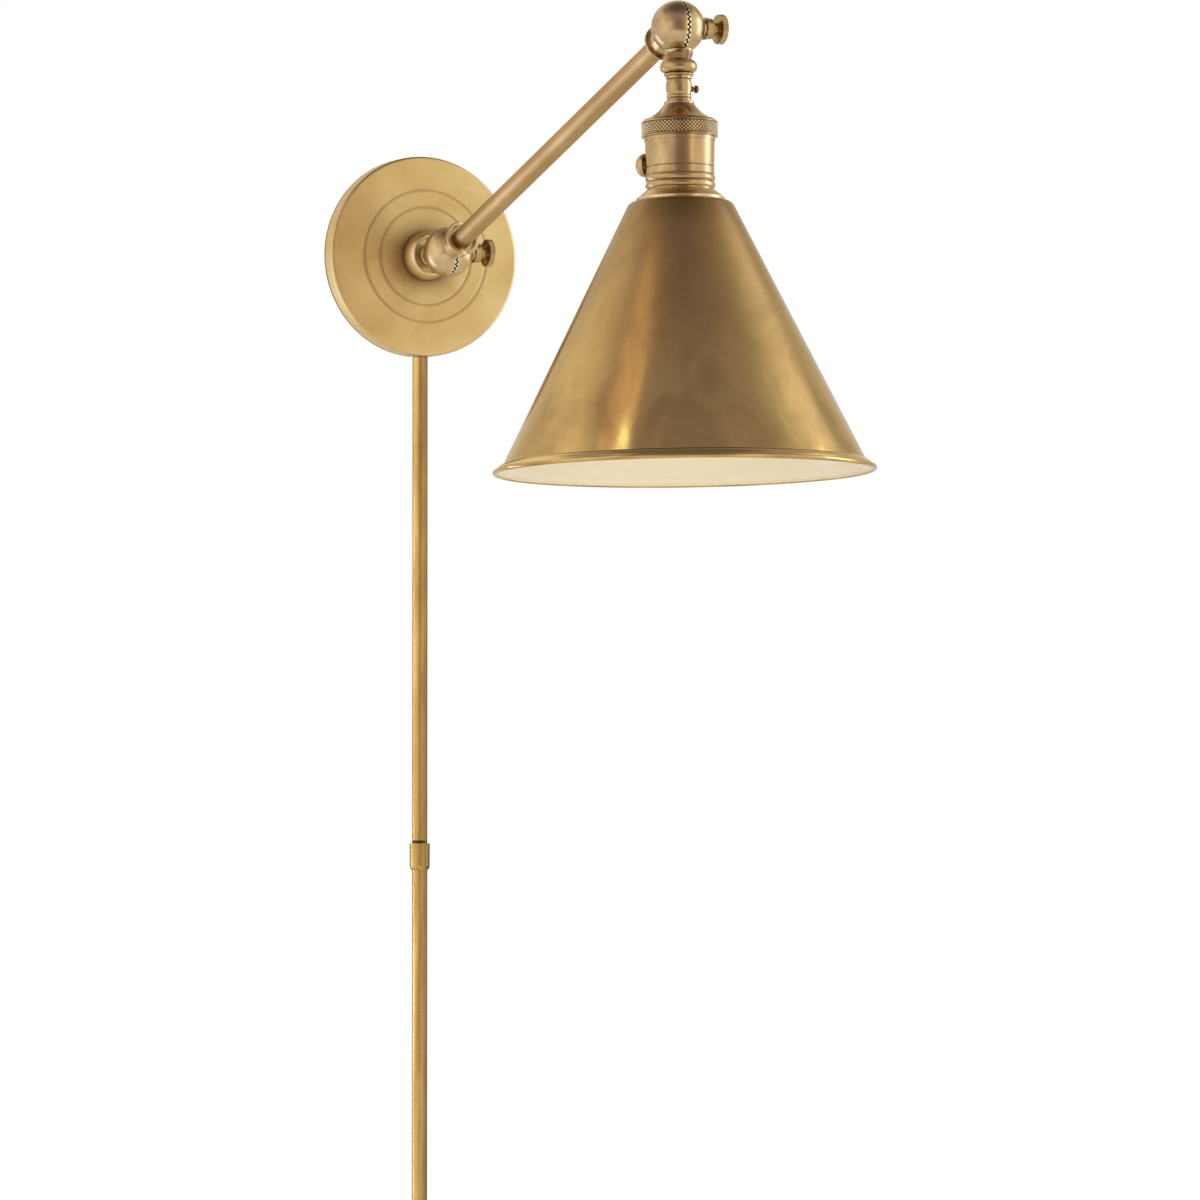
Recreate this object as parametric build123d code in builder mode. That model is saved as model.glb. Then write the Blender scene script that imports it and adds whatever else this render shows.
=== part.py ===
from build123d import *
import os
from math import cos, pi, radians, sin, sqrt

# Library wall light, in millimetres. The wall is the plane y = 0, the light stands out
# along -Y, +Z is up, and the origin is the middle of the wall plate on the wall.
os.makedirs("parts", exist_ok=True)

# Rest pose
arm_raise = 17.2  # degrees of the arm above level
head_lean = 2.0  # degrees of the shade away from the wall

# Clearances
thread_gap = 0.05  # radial, between two threaded pieces
running_gap = 0.05  # radial, round a turning shank
joint_gap = 0.3  # between the two halves of a knuckle and what turns past them
seat_gap = 0.3  # round the cord cover where it leaves the plate

# Wall plate
plate_radius = 58.0
plate_depth = 11.0
plate_crown = 2.0
plate_wall = 1.4
plate_round = 1.8
land_radius = 15.5
inner_groove_radius = 28.2
outer_groove_radius = 38.2
groove_radius = 0.55

# Mounting strap, bowed out from the wall at its middle
strap_end = 2.3  # metal left past the end of a slot
strap_width = 18.0
strap_thickness = 1.8
strap_rise = 5.0
strap_flat = 34.0
strap_ramp = 7.0
slot_spacing = 79.4
slot_length = 14.0
slot_width = 4.5

# Threaded nipples, their nut and bushing
nipple_radius = 5.0
nipple_bore = 3.4
nipple_back = 3.0  # distance of the wall nipple's back end from the wall
nipple_grip = 4.0  # how far a nipple screws into a knuckle's neck
nut_flats = 15.0
nut_height = 3.0
bushing_flange = 1.2
bushing_reach = 5.0
bushing_wall = 0.7

# Hub cup and the neck that stands in it
hub_radius = 14.0
hub_height = 10.0
hub_mouth_radius = 11.6
hub_bulge = 0.9
hub_lip = 1.2
hub_floor = 3.0
neck_radius = 6.1
neck_ring_radius = 7.2
neck_ring_height = 2.4
neck_ring_offset = 4.6  # from the cup's floor to the ring

# Ball knuckles
ball_radius = 14.3
ball_reach = 46.5  # lower ball centre from the wall
tooth_count = 32
tooth_depth = 1.3
tooth_land = 0.16  # share of the pitch left flat on a crest
face_gap = 0.2  # between the crests of the two halves
tooth_ring_width = 4.8
boss_radius = 5.2
cup_depth = 6.5
lead_radius = 3.0  # passage for the wires
boss_face = 15.2  # outer boss of a half from the ball centre
boss_face_radius = 4.6

# Thumbscrews and their washers
shank_radius = 2.5
shank_depth = 9.0  # past the ball centre
shank_end_room = 0.8
spring_washer_radius = 5.9
spring_washer_thickness = 1.4
cup_washer_radius = 5.6
cup_washer_thickness = 3.0
cup_washer_round = 1.0
thumb_neck_radius = 3.3
thumb_neck_length = 3.6
thumb_flare = 2.6
thumb_radius = 7.95
thumb_thickness = 3.0
thumb_dome = 0.7
thumb_notches = 48
thumb_notch_depth = 0.35

# Arm
arm_length = 325.0  # between the ball centres
arm_radius = 5.6
arm_wall = 1.0
collar_end = 22.0  # from the ball centre
collar_radius = 8.3
collar_lip_radius = 10.0
collar_lip_width = 1.8
collar_recess_radius = 8.2
collar_recess_depth = 3.0
arm_seat = 15.4  # end of the tube from the ball centre

# Head stem
stem_top_radius = 7.7  # where the neck leaves the ball
stem_radius = 6.5
stem_end = 17.5  # from the ball centre
bead_radius = 9.9
bead_height = 7.2
stem_ring_radius = 8.0
stem_ring_height = 1.4
stem_foot_radius = 6.9
stem_foot_height = 1.6

# Socket cap
barrel_radius = 6.9
barrel_end_radius = 6.2
barrel_height = 8.4
cap_bead_radius = 6.7
cap_bead_height = 1.95
cap_step_radius = 8.0
cap_step_height = 1.0
cap_bell_radius = 14.4
cap_bell_height = 6.4
cap_bell_sag = 0.7
cap_shoulder_height = 2.0
cap_skirt_height = 3.4
cap_wall = 1.2
set_screw_radius = 1.5
set_screw_head_radius = 2.1
set_screw_head_length = 2.2
set_screw_neck = 2.2
set_screw_drop = 5.0  # below the top of the barrel

# Knurled ring
knurl_radius = 20.4
knurl_height = 9.4
knurl_chamfer = 1.6

# Socket body
socket_radius = 18.5
socket_wall = 1.0
socket_spigot_radius = 17.7
socket_lip_height = 2.0
socket_lip_proud = 0.35
socket_height = 14.0
socket_taper = 0.4
band_height = 4.2
skirt_bead_height = 3.6
skirt_bead_root = 0.35  # below the body's surface
skirt_bead_rise = 0.8
skirt_foot_height = 1.1
skirt_foot_step = 0.8
line_groove_radius = 0.4

# Socket inside
liner_wall = 0.7
liner_height = 17.0
core_radius = 15.6
core_height = 18.0
core_drop = 10.5  # from the socket body's top edge to the core's top
shell_bore = 13.3
shell_wall = 0.5
shell_length = 22.0
shell_hole_radius = 6.0
contact_width = 5.0
contact_length = 9.0
contact_thickness = 0.6
contact_rise = 2.0
contact_well = 3.0  # depth of the core's well below the shell's floor
terminal_spacing = 18.0
terminal_head_radius = 2.6
terminal_head_height = 1.6
terminal_shank_radius = 1.5
terminal_shank_length = 5.0

# Rotary switch
switch_angle = 130.0  # degrees round the socket from +X
switch_drop = 13.6  # below the knurled ring
switch_shaft_radius = 2.0
switch_shaft_root = 4.0  # inner end from the socket's axis
switch_bush_radius = 3.4
switch_bush_collar_radius = 4.4
switch_bush_collar = 0.6
switch_knob_radius = 6.4
switch_knob_length = 5.4
switch_knob_grip = 3.6
switch_knob_dome = 0.9  # rounding as a share of the knob's length

# Shade, its fitter and retaining ring
fitter_top_radius = 18.7
fitter_radius = 23.4
fitter_flare = 4.0
fitter_rim = 1.5
sleeve_radius = 16.5
sleeve_wall = 1.3
sleeve_gap = 0.3  # between the sleeve's upper end and the socket's core
sleeve_down = 8.0
shade_hole_gap = 0.3
shade_flat_radius = 24.2
shade_shoulder_radius = 28.2
shade_shoulder_drop = 2.4
shade_cone_radius = 95.8
shade_cone_height = 136.2
shade_lip_radius = 101.6
shade_lip_drop = 4.4
shade_lip_bulge = 0.8  # of the flange past its chord
shade_bead_radius = 1.3
shade_wall = 0.9
ring_nut_radius = 21.5
ring_nut_height = 4.0
ring_nut_lugs = 6
ring_nut_notch = 3.0

# Cord cover
cover_radius = 4.4
cover_wall = 0.8
cover_slot = 3.6
cover_standoff = 0.2
cover_section = 305.0
cover_tuck = 16.0  # length of the upper section inside the plate
coupling_radius = 5.8
coupling_length = 15.4
coupling_mouth_radius = 5.3
coupling_mouth_depth = 2.6
coupling_taper = 2.6
coupling_rib = 1.2
coupling_back = 0.2

# Places worked out from the sizes
out = Vector(0, -1, 0)
arm_way = Vector(0, -cos(radians(arm_raise)), sin(radians(arm_raise)))
head_way = Vector(0, -sin(radians(head_lean)), -cos(radians(head_lean)))
wall_middle = Vector(0, 0, 0)
lower_ball = wall_middle + out * ball_reach
upper_ball = lower_ball + arm_way * arm_length


def along(start, way):
    # Section plane through X: sketch x is the radius, sketch y the distance along way.
    return Plane(origin=start, x_dir=(1, 0, 0), z_dir=(0, -way.Z, way.Y))


def across(start, way):
    # Cross-section plane square to way.
    return Plane(origin=start, x_dir=(1, 0, 0), z_dir=way)


def save(part, name):
    part.label = name
    export_step(part, f"parts/{name}.step")


# Wall plate: a shallow spun pan with two engraved rings
plate_face = plate_depth + plate_crown
cover_axis = cover_standoff + cover_radius
crown_radius = ((plate_radius - land_radius) ** 2 + plate_crown**2) / (2 * plate_crown)
with BuildPart() as backplate:
    with BuildSketch(along(wall_middle, out)) as pan:
        with BuildLine():
            inner_radius = plate_radius - plate_wall
            TangentArc((land_radius, plate_face), (plate_radius, plate_depth), tangent=(1, 0))
            Polyline((plate_radius, plate_depth), (plate_radius, 0), (inner_radius, 0))
            Line((inner_radius, 0), (inner_radius, plate_depth - plate_wall))
            TangentArc(
                (land_radius, plate_face - plate_wall),
                (inner_radius, plate_depth - plate_wall),
                tangent=(1, 0),
            )
            Polyline(
                (land_radius, plate_face - plate_wall),
                (nipple_radius + thread_gap, plate_face - plate_wall),
                (nipple_radius + thread_gap, plate_face),
                (land_radius, plate_face),
            )
        make_face()
        fillet(pan.vertices().group_by(Axis.X)[-1].sort_by(Axis.Y)[-1], plate_round)
    revolve(axis=Axis(wall_middle, out))
    for ring_radius in (inner_groove_radius, outer_groove_radius):
        ring_sag = crown_radius - sqrt(crown_radius**2 - (ring_radius - land_radius) ** 2)
        with BuildSketch(along(wall_middle, out)):
            with Locations((ring_radius, plate_face - ring_sag)):
                Circle(groove_radius)
        revolve(axis=Axis(wall_middle, out), mode=Mode.SUBTRACT)
    with BuildSketch(Plane(origin=(0, 0, -plate_radius), x_dir=(1, 0, 0), z_dir=(0, 0, -1))):
        with Locations((0, cover_axis)):
            Circle(cover_radius + seat_gap)
        with Locations((0, cover_axis / 2)):
            Rectangle(2 * (cover_radius + seat_gap), cover_axis)
    extrude(amount=cover_tuck, both=True, mode=Mode.SUBTRACT)
save(backplate.part, "backplate")

# Mounting strap: two slotted feet on the wall and a raised middle that holds the nipple
strap_length = slot_spacing + slot_length + 2 * strap_end
with BuildPart() as mounting_strap:
    with BuildSketch(along(wall_middle, out)):
        with BuildLine():
            half_flat = strap_flat / 2
            foot_start = half_flat + strap_ramp
            Polyline(
                (0, strap_rise),
                (half_flat, strap_rise),
                (foot_start, 0),
                (strap_length / 2, 0),
                (strap_length / 2, strap_thickness),
                (foot_start + strap_thickness / 2, strap_thickness),
                (half_flat + strap_thickness / 2, strap_rise + strap_thickness),
                (0, strap_rise + strap_thickness),
            )
            mirror(about=Plane.YZ)
        make_face()
    extrude(amount=strap_width / 2, both=True)
    ends = mounting_strap.edges().filter_by(Axis.Y).group_by(SortBy.LENGTH)[0]
    fillet(ends, strap_width / 4)
    with BuildSketch(across(wall_middle, out)):
        Circle(nipple_radius + thread_gap)
        with GridLocations(slot_spacing, 0, 2, 1):
            SlotOverall(slot_length, slot_width)
    extrude(amount=strap_rise + strap_thickness, mode=Mode.SUBTRACT)
save(mounting_strap.part, "mounting_strap")

# Wall nipple, from behind the strap into the neck of the lower knuckle
strap_face = strap_rise + strap_thickness
cup_floor = plate_face + hub_floor
with BuildPart() as wall_nipple:
    with BuildSketch(across(wall_middle + out * nipple_back, out)):
        Circle(nipple_radius)
        Circle(nipple_bore, mode=Mode.SUBTRACT)
    extrude(amount=cup_floor + nipple_grip + neck_ring_offset - nipple_back)
save(wall_nipple.part, "wall_nipple")

with BuildPart() as strap_nut:
    with BuildSketch(across(wall_middle + out * strap_face, out)):
        RegularPolygon(nut_flats / 2, 6, major_radius=False)
        Circle(nipple_radius + thread_gap, mode=Mode.SUBTRACT)
    extrude(amount=nut_height)
save(strap_nut.part, "strap_nut")

# Plastic bushing that keeps the wires off the nipple's edge
with BuildPart() as nipple_bushing:
    with BuildSketch(along(wall_middle, out)):
        with BuildLine():
            sleeve_face = nipple_bore - thread_gap
            Polyline(
                (sleeve_face - bushing_wall, nipple_back - bushing_flange),
                (nipple_radius, nipple_back - bushing_flange),
                (nipple_radius, nipple_back),
                (sleeve_face, nipple_back),
                (sleeve_face, nipple_back + bushing_reach),
                (sleeve_face - bushing_wall, nipple_back + bushing_reach),
                close=True,
            )
        make_face()
    revolve(axis=Axis(wall_middle, out))
save(nipple_bushing.part, "nipple_bushing")

# Hub: a bulged cup that clamps the plate and hides the foot of the neck
with BuildPart() as hub:
    with BuildSketch(along(wall_middle, out)) as cup:
        with BuildLine():
            cup_top = plate_face + hub_height
            belly = ((hub_radius + hub_mouth_radius) / 2 + hub_bulge, plate_face + hub_height / 2)
            ThreePointArc((hub_radius, plate_face), belly, (hub_mouth_radius, cup_top))
            Polyline(
                (hub_mouth_radius, cup_top),
                (hub_mouth_radius - hub_lip, cup_top),
                (hub_mouth_radius - hub_lip, cup_floor),
                (nipple_radius + thread_gap, cup_floor),
                (nipple_radius + thread_gap, plate_face),
                (hub_radius, plate_face),
            )
        make_face()
        fillet(cup.vertices().group_by(Axis.Y)[-1], hub_lip / 3)
    revolve(axis=Axis(wall_middle, out))
save(hub.part, "hub")

# One V-shaped gap between two face teeth, narrowing towards the knuckle's axis
tooth_pitch = 2 * pi * ball_radius / tooth_count
gap_half = tooth_pitch * (1 - tooth_land) / 2
tooth_inner = ball_radius - tooth_ring_width
crest = face_gap / 2
with BuildPart() as tooth_gap:
    for share in (tooth_inner / 2 / ball_radius, 1 + joint_gap / 2 / ball_radius):
        station = Plane(origin=(ball_radius * share, 0, crest), x_dir=(0, 1, 0), z_dir=(1, 0, 0))
        with BuildSketch(station):
            with BuildLine():
                Polyline(
                    (-2 * gap_half * share, -tooth_depth * share),
                    (2 * gap_half * share, -tooth_depth * share),
                    (0, tooth_depth * share),
                    close=True,
                )
            make_face()
    loft()


def knuckle_half(centre, side, neck, neck_way, phase):
    # One half of a ball knuckle: side is -1 for the threaded half, on -X, and +1 for the
    # half that the thumbscrew passes through. The neck stands clear of the other half.
    # Half and neck are made with the ball at the origin, and then moved to its centre.
    turning = Axis.X
    section = Plane(origin=(0, 0, 0), x_dir=(side, 0, 0), z_dir=(0, 0, side))
    spindle = Plane(origin=(0, 0, 0), x_dir=(0, 0, 1), z_dir=(side, 0, 0))
    with BuildPart() as half:
        with BuildSketch(section):
            Circle(ball_radius)
            with Locations((crest, 0)):
                Rectangle(
                    2 * ball_radius,
                    2 * ball_radius,
                    align=(Align.MAX, Align.CENTER),
                    mode=Mode.SUBTRACT,
                )
            with Locations((0, 0)):
                Rectangle(
                    4 * ball_radius,
                    ball_radius,
                    align=(Align.CENTER, Align.MAX),
                    mode=Mode.SUBTRACT,
                )
        revolve(axis=turning)
        if side > 0:
            with BuildSketch(spindle):
                Circle(boss_face_radius)
            extrude(amount=boss_face)
        add(neck)
        with BuildSketch(section):
            Circle(ball_radius + joint_gap)
            with Locations((crest, 0)):
                Rectangle(
                    2 * ball_radius,
                    4 * ball_radius,
                    align=(Align.MIN, Align.CENTER),
                    mode=Mode.SUBTRACT,
                )
            Rectangle(
                4 * ball_radius,
                2 * ball_radius,
                align=(Align.CENTER, Align.MAX),
                mode=Mode.SUBTRACT,
            )
        revolve(axis=turning, mode=Mode.SUBTRACT)
        with BuildSketch(spindle.offset(crest)):
            Circle(tooth_inner)
            Circle(boss_radius, mode=Mode.SUBTRACT)
        extrude(amount=cup_depth, mode=Mode.SUBTRACT)
        with BuildSketch(across(neck_way * boss_radius, neck_way)):
            Circle(lead_radius)
        extrude(amount=collar_end + ball_radius, mode=Mode.SUBTRACT)
        with BuildSketch(spindle):
            Circle(shank_radius + running_gap)
        bore_depth = boss_face if side > 0 else shank_depth + shank_end_room
        extrude(amount=bore_depth, mode=Mode.SUBTRACT)
        with Locations(spindle.location):
            with PolarLocations(0, tooth_count, start_angle=phase):
                add(tooth_gap.part, mode=Mode.SUBTRACT)
    return half.part.moved(Location(centre))


half_pitch = 180 / tooth_count

# Lower knuckle, wall side: its neck stands in the hub on the nipple's end
neck_root = wall_middle - lower_ball
with BuildPart() as wall_neck:
    with BuildSketch(along(neck_root, out)):
        with BuildLine():
            ring_low = cup_floor + neck_ring_offset
            ring_high = ring_low + neck_ring_height
            ring_middle = (neck_ring_radius, (ring_low + ring_high) / 2)
            Polyline((0, ring_low), (0, ball_reach), (neck_radius, ball_reach), (neck_radius, ring_high))
            ThreePointArc((neck_radius, ring_high), ring_middle, (neck_radius, ring_low))
            Polyline((neck_radius, ring_low), (neck_radius, cup_floor), (0, cup_floor), (0, ring_low))
        make_face()
    revolve(axis=Axis(neck_root, out))
    with BuildSketch(across(neck_root + out * cup_floor, out)):
        Circle(nipple_radius + thread_gap)
    extrude(amount=nipple_grip + neck_ring_offset, mode=Mode.SUBTRACT)
wall_knuckle = knuckle_half(lower_ball, -1, wall_neck.part, -out, 0)
save(wall_knuckle, "wall_knuckle")


def arm_collar(way):
    # Turned collar on a knuckle half, with a lipped cup that takes the arm tube.
    with BuildPart() as collar:
        with BuildSketch(along(Vector(), way)) as turned:
            with BuildLine():
                Polyline(
                    (0, 0),
                    (collar_radius, 0),
                    (collar_radius, collar_end - collar_lip_width),
                    (collar_lip_radius, collar_end - collar_lip_width),
                    (collar_lip_radius, collar_end),
                    (collar_recess_radius, collar_end),
                    (collar_recess_radius, collar_end - collar_recess_depth),
                    (arm_radius + thread_gap, collar_end - collar_recess_depth),
                    (arm_radius + thread_gap, arm_seat),
                    (0, arm_seat),
                    close=True,
                )
            make_face()
            lip = turned.vertices().group_by(Axis.X)[-1]
            fillet(lip, collar_lip_width / 3)
        revolve(axis=Axis((0, 0, 0), way))
    return collar.part


lower_collar = arm_collar(arm_way)
save(knuckle_half(lower_ball, 1, lower_collar, arm_way, half_pitch), "arm_knuckle_lower")

with BuildPart() as arm_tube:
    with BuildSketch(across(lower_ball + arm_way * arm_seat, arm_way)):
        Circle(arm_radius)
        Circle(arm_radius - arm_wall, mode=Mode.SUBTRACT)
    extrude(amount=arm_length - 2 * arm_seat)
save(arm_tube.part, "arm_tube")

upper_collar = arm_collar(-arm_way)
save(knuckle_half(upper_ball, -1, upper_collar, -arm_way, 0), "arm_knuckle_upper")

# Upper knuckle, head side: a tapered neck that the stem nipple screws into
with BuildPart() as head_neck:
    with BuildSketch(along(Vector(), head_way)):
        with BuildLine():
            Polyline(
                (0, 0),
                (stem_top_radius, 0),
                (stem_top_radius, ball_radius),
                (stem_radius, stem_end),
                (0, stem_end),
                close=True,
            )
        make_face()
    revolve(axis=Axis((0, 0, 0), head_way))
    with BuildSketch(across(head_way * stem_end, -head_way)):
        Circle(nipple_radius + thread_gap)
    extrude(amount=stem_end - ball_radius - joint_gap, mode=Mode.SUBTRACT)
save(knuckle_half(upper_ball, 1, head_neck.part, head_way, half_pitch), "head_knuckle")


def washer(centre, start, radius, thickness, round_size):
    # A washer on the thumbscrew's shank, start is its inner face from the ball centre.
    with BuildPart() as ring:
        with BuildSketch(Plane(origin=centre + Vector(start, 0, 0), x_dir=(0, 0, 1), z_dir=(1, 0, 0))):
            Circle(radius)
            Circle(shank_radius + running_gap, mode=Mode.SUBTRACT)
        extrude(amount=thickness)
        if round_size:
            fillet(ring.edges().group_by(Axis.X)[-1].sort_by(SortBy.LENGTH)[-1], round_size)
    return ring.part


def thumbscrew(centre):
    # Shank, flared neck and a coin-edged disc, turned about the knuckle's axis.
    seat = boss_face + spring_washer_thickness + cup_washer_thickness
    disc_start = seat + thumb_neck_length
    disc_end = disc_start + thumb_thickness
    with BuildPart() as screw:
        with BuildSketch(Plane(origin=centre, x_dir=(1, 0, 0), z_dir=(0, 0, 1))):
            with BuildLine():
                flare_middle = (disc_start - thumb_flare / 3, thumb_neck_radius + thumb_flare / 3)
                flare_end = (disc_start, thumb_neck_radius + thumb_flare)
                Polyline(
                    (disc_end + thumb_dome, 0),
                    (-shank_depth, 0),
                    (-shank_depth, shank_radius),
                    (seat, shank_radius),
                    (seat, thumb_neck_radius),
                    (disc_start - thumb_flare, thumb_neck_radius),
                )
                ThreePointArc((disc_start - thumb_flare, thumb_neck_radius), flare_middle, flare_end)
                Polyline(flare_end, (disc_start, thumb_radius), (disc_end, thumb_radius))
                TangentArc(
                    (disc_end + thumb_dome, 0),
                    (disc_end, thumb_radius),
                    tangent=(0, 1),
                )
            make_face()
        revolve(axis=Axis(centre, (1, 0, 0)))
        disc_plane = Plane(
            origin=centre + Vector(disc_start, 0, 0), x_dir=(0, 0, 1), z_dir=(1, 0, 0)
        )
        with BuildSketch(disc_plane):
            with PolarLocations(thumb_radius, thumb_notches):
                RegularPolygon(thumb_notch_depth, 4)
        extrude(amount=thumb_thickness, mode=Mode.SUBTRACT)
    return screw.part


for place, centre in (("lower", lower_ball), ("upper", upper_ball)):
    cup_start = boss_face + spring_washer_thickness
    save(
        washer(centre, boss_face, spring_washer_radius, spring_washer_thickness, 0),
        f"{place}_spring_washer",
    )
    save(
        washer(centre, cup_start, cup_washer_radius, cup_washer_thickness, cup_washer_round),
        f"{place}_cup_washer",
    )
    save(thumbscrew(centre), f"{place}_thumbscrew")

# Head stem: a bold bead, a small ring and a foot on the stem nipple
bead_end = stem_end + bead_height
ring_end = bead_end + stem_ring_height
barrel_top = ring_end + stem_foot_height
with BuildPart() as stem_bead:
    with BuildSketch(along(upper_ball, head_way)):
        with BuildLine():
            ThreePointArc(
                (stem_radius, stem_end),
                (bead_radius, (stem_end + bead_end) / 2),
                (stem_ring_radius - stem_ring_height / 2, bead_end),
            )
            ThreePointArc(
                (stem_ring_radius - stem_ring_height / 2, bead_end),
                (stem_ring_radius, (bead_end + ring_end) / 2),
                (stem_ring_radius - stem_ring_height / 2, ring_end),
            )
            Polyline(
                (stem_ring_radius - stem_ring_height / 2, ring_end),
                (stem_foot_radius, ring_end),
                (stem_foot_radius, barrel_top),
                (nipple_radius + thread_gap, barrel_top),
                (nipple_radius + thread_gap, stem_end),
                (stem_radius, stem_end),
            )
        make_face()
    revolve(axis=Axis(upper_ball, head_way))
save(stem_bead.part, "stem_bead")

# Socket cap: barrel with a set screw, two fine beads, a step and a bell
barrel_end = barrel_top + barrel_height
cap_beads_end = barrel_end + 2 * cap_bead_height
bell_top = cap_beads_end + cap_step_height
bell_end = bell_top + cap_bell_height
shoulder_end = bell_end + cap_shoulder_height
cap_end = shoulder_end + cap_skirt_height
cap_bore = nipple_radius + thread_gap
with BuildPart() as stem_nipple:
    with BuildSketch(across(upper_ball + head_way * (ball_radius + joint_gap), head_way)):
        Circle(nipple_radius)
        Circle(nipple_bore, mode=Mode.SUBTRACT)
    extrude(amount=cap_beads_end - ball_radius - joint_gap)
save(stem_nipple.part, "stem_nipple")

with BuildPart() as socket_cap:
    with BuildSketch(along(upper_ball, head_way)):
        with BuildLine():
            ThreePointArc(
                (barrel_end_radius, barrel_top),
                (barrel_radius, (barrel_top + barrel_end) / 2),
                (barrel_end_radius, barrel_end),
            )
            for start in (barrel_end, barrel_end + cap_bead_height):
                ThreePointArc(
                    (barrel_end_radius, start),
                    (cap_bead_radius, start + cap_bead_height / 2),
                    (barrel_end_radius, start + cap_bead_height),
                )
            bell_middle = (
                (cap_step_radius + cap_bell_radius) / 2 - cap_bell_sag,
                (bell_top + bell_end) / 2,
            )
            Polyline(
                (barrel_end_radius, cap_beads_end),
                (cap_step_radius, cap_beads_end),
                (cap_step_radius, bell_top),
            )
            ThreePointArc((cap_step_radius, bell_top), bell_middle, (cap_bell_radius, bell_end))
            Polyline(
                (cap_bell_radius, bell_end),
                (socket_spigot_radius, shoulder_end),
                (socket_spigot_radius, cap_end),
                (socket_spigot_radius - cap_wall, cap_end),
                (socket_spigot_radius - cap_wall, shoulder_end + cap_wall / 2),
                (cap_bell_radius - cap_wall, bell_end + cap_wall),
                (cap_step_radius - cap_wall, bell_top + cap_wall),
                (cap_bore, bell_top + cap_wall),
                (cap_bore, barrel_top),
                (barrel_end_radius, barrel_top),
            )
        make_face()
    revolve(axis=Axis(upper_ball, head_way))
    screw_level = upper_ball + head_way * (barrel_top + set_screw_drop)
    screw_plane = Plane(origin=screw_level, x_dir=(0, 0, 1), z_dir=(1, 0, 0))
    with BuildSketch(screw_plane):
        Circle(set_screw_radius + thread_gap)
    extrude(amount=barrel_radius + set_screw_neck, mode=Mode.SUBTRACT)
save(socket_cap.part, "socket_cap")

with BuildPart() as cap_set_screw:
    head_start = barrel_radius + set_screw_neck
    with BuildSketch(screw_plane.offset(cap_bore)):
        Circle(set_screw_radius)
    extrude(amount=head_start - cap_bore)
    with BuildSketch(screw_plane.offset(head_start)):
        Circle(set_screw_head_radius)
    extrude(amount=set_screw_head_length)
    fillet(cap_set_screw.edges().group_by(Axis.X)[-1], set_screw_head_radius / 4)
save(cap_set_screw.part, "cap_set_screw")

# Knurled ring that draws the cap and the socket body together
ring_top = shoulder_end
ring_bottom = ring_top + knurl_height
with BuildPart() as knurled_ring:
    with BuildSketch(along(upper_ball, head_way)):
        with BuildLine():
            Polyline(
                (socket_spigot_radius + thread_gap, ring_top),
                (knurl_radius - knurl_chamfer, ring_top),
                (knurl_radius, ring_top + knurl_chamfer),
                (knurl_radius, ring_bottom - knurl_chamfer / 4),
                (knurl_radius - knurl_chamfer / 4, ring_bottom),
                (socket_spigot_radius + thread_gap, ring_bottom),
                close=True,
            )
        make_face()
    revolve(axis=Axis(upper_ball, head_way))
save(knurled_ring.part, "knurled_ring")

# Socket body: drawn shell with a spigot, a lip, a band and two beads on its skirt
lip_end = ring_bottom + socket_lip_height
body_end = lip_end + socket_height
band_end = body_end + band_height
skirt_end = band_end + 2 * skirt_bead_height
socket_end = skirt_end + skirt_foot_height
body_low_radius = socket_radius - socket_taper
socket_bore = socket_spigot_radius - socket_wall
switch_level = ring_bottom + switch_drop
switch_point = upper_ball + head_way * switch_level
wall_way = Vector(0, -head_way.Z, head_way.Y)
switch_way = Vector(1, 0, 0) * cos(radians(switch_angle)) + wall_way * sin(radians(switch_angle))
switch_plane = Plane(origin=switch_point, x_dir=head_way, z_dir=switch_way)
with BuildPart() as socket_body:
    with BuildSketch(along(upper_ball, head_way)):
        with BuildLine():
            bead_root = body_low_radius - skirt_bead_root
            foot_radius = body_low_radius - skirt_foot_step
            Polyline(
                (socket_bore, cap_end),
                (socket_spigot_radius, cap_end),
                (socket_spigot_radius, ring_bottom),
                (socket_radius + socket_lip_proud, ring_bottom),
                (socket_radius + socket_lip_proud, lip_end),
                (socket_radius, lip_end),
                (body_low_radius, body_end),
                (body_low_radius, band_end),
                (bead_root, band_end),
            )
            for start in (band_end, band_end + skirt_bead_height):
                ThreePointArc(
                    (bead_root, start),
                    (bead_root + skirt_bead_rise, start + skirt_bead_height / 2),
                    (bead_root, start + skirt_bead_height),
                )
            Polyline(
                (bead_root, skirt_end),
                (foot_radius, skirt_end),
                (foot_radius, socket_end),
                (socket_bore, socket_end),
                (socket_bore, cap_end),
            )
        make_face()
    revolve(axis=Axis(upper_ball, head_way))
    for groove_level in (body_end, band_end):
        with BuildSketch(along(upper_ball, head_way)):
            with Locations((body_low_radius, groove_level)):
                Circle(line_groove_radius)
        revolve(axis=Axis(upper_ball, head_way), mode=Mode.SUBTRACT)
    with BuildSketch(switch_plane):
        Circle(switch_bush_radius + thread_gap)
    extrude(amount=2 * socket_radius, mode=Mode.SUBTRACT)
save(socket_body.part, "socket_body")

# Fibre sleeve between the shell and the core
liner_radius = socket_bore - thread_gap
liner_top = ring_bottom
with BuildPart() as socket_liner:
    with BuildSketch(across(upper_ball + head_way * liner_top, head_way)):
        Circle(liner_radius)
        Circle(liner_radius - liner_wall, mode=Mode.SUBTRACT)
    extrude(amount=liner_height)
    with BuildSketch(switch_plane):
        Circle(switch_bush_radius + thread_gap)
    extrude(amount=2 * socket_radius, mode=Mode.SUBTRACT)
save(socket_liner.part, "socket_liner")

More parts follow.
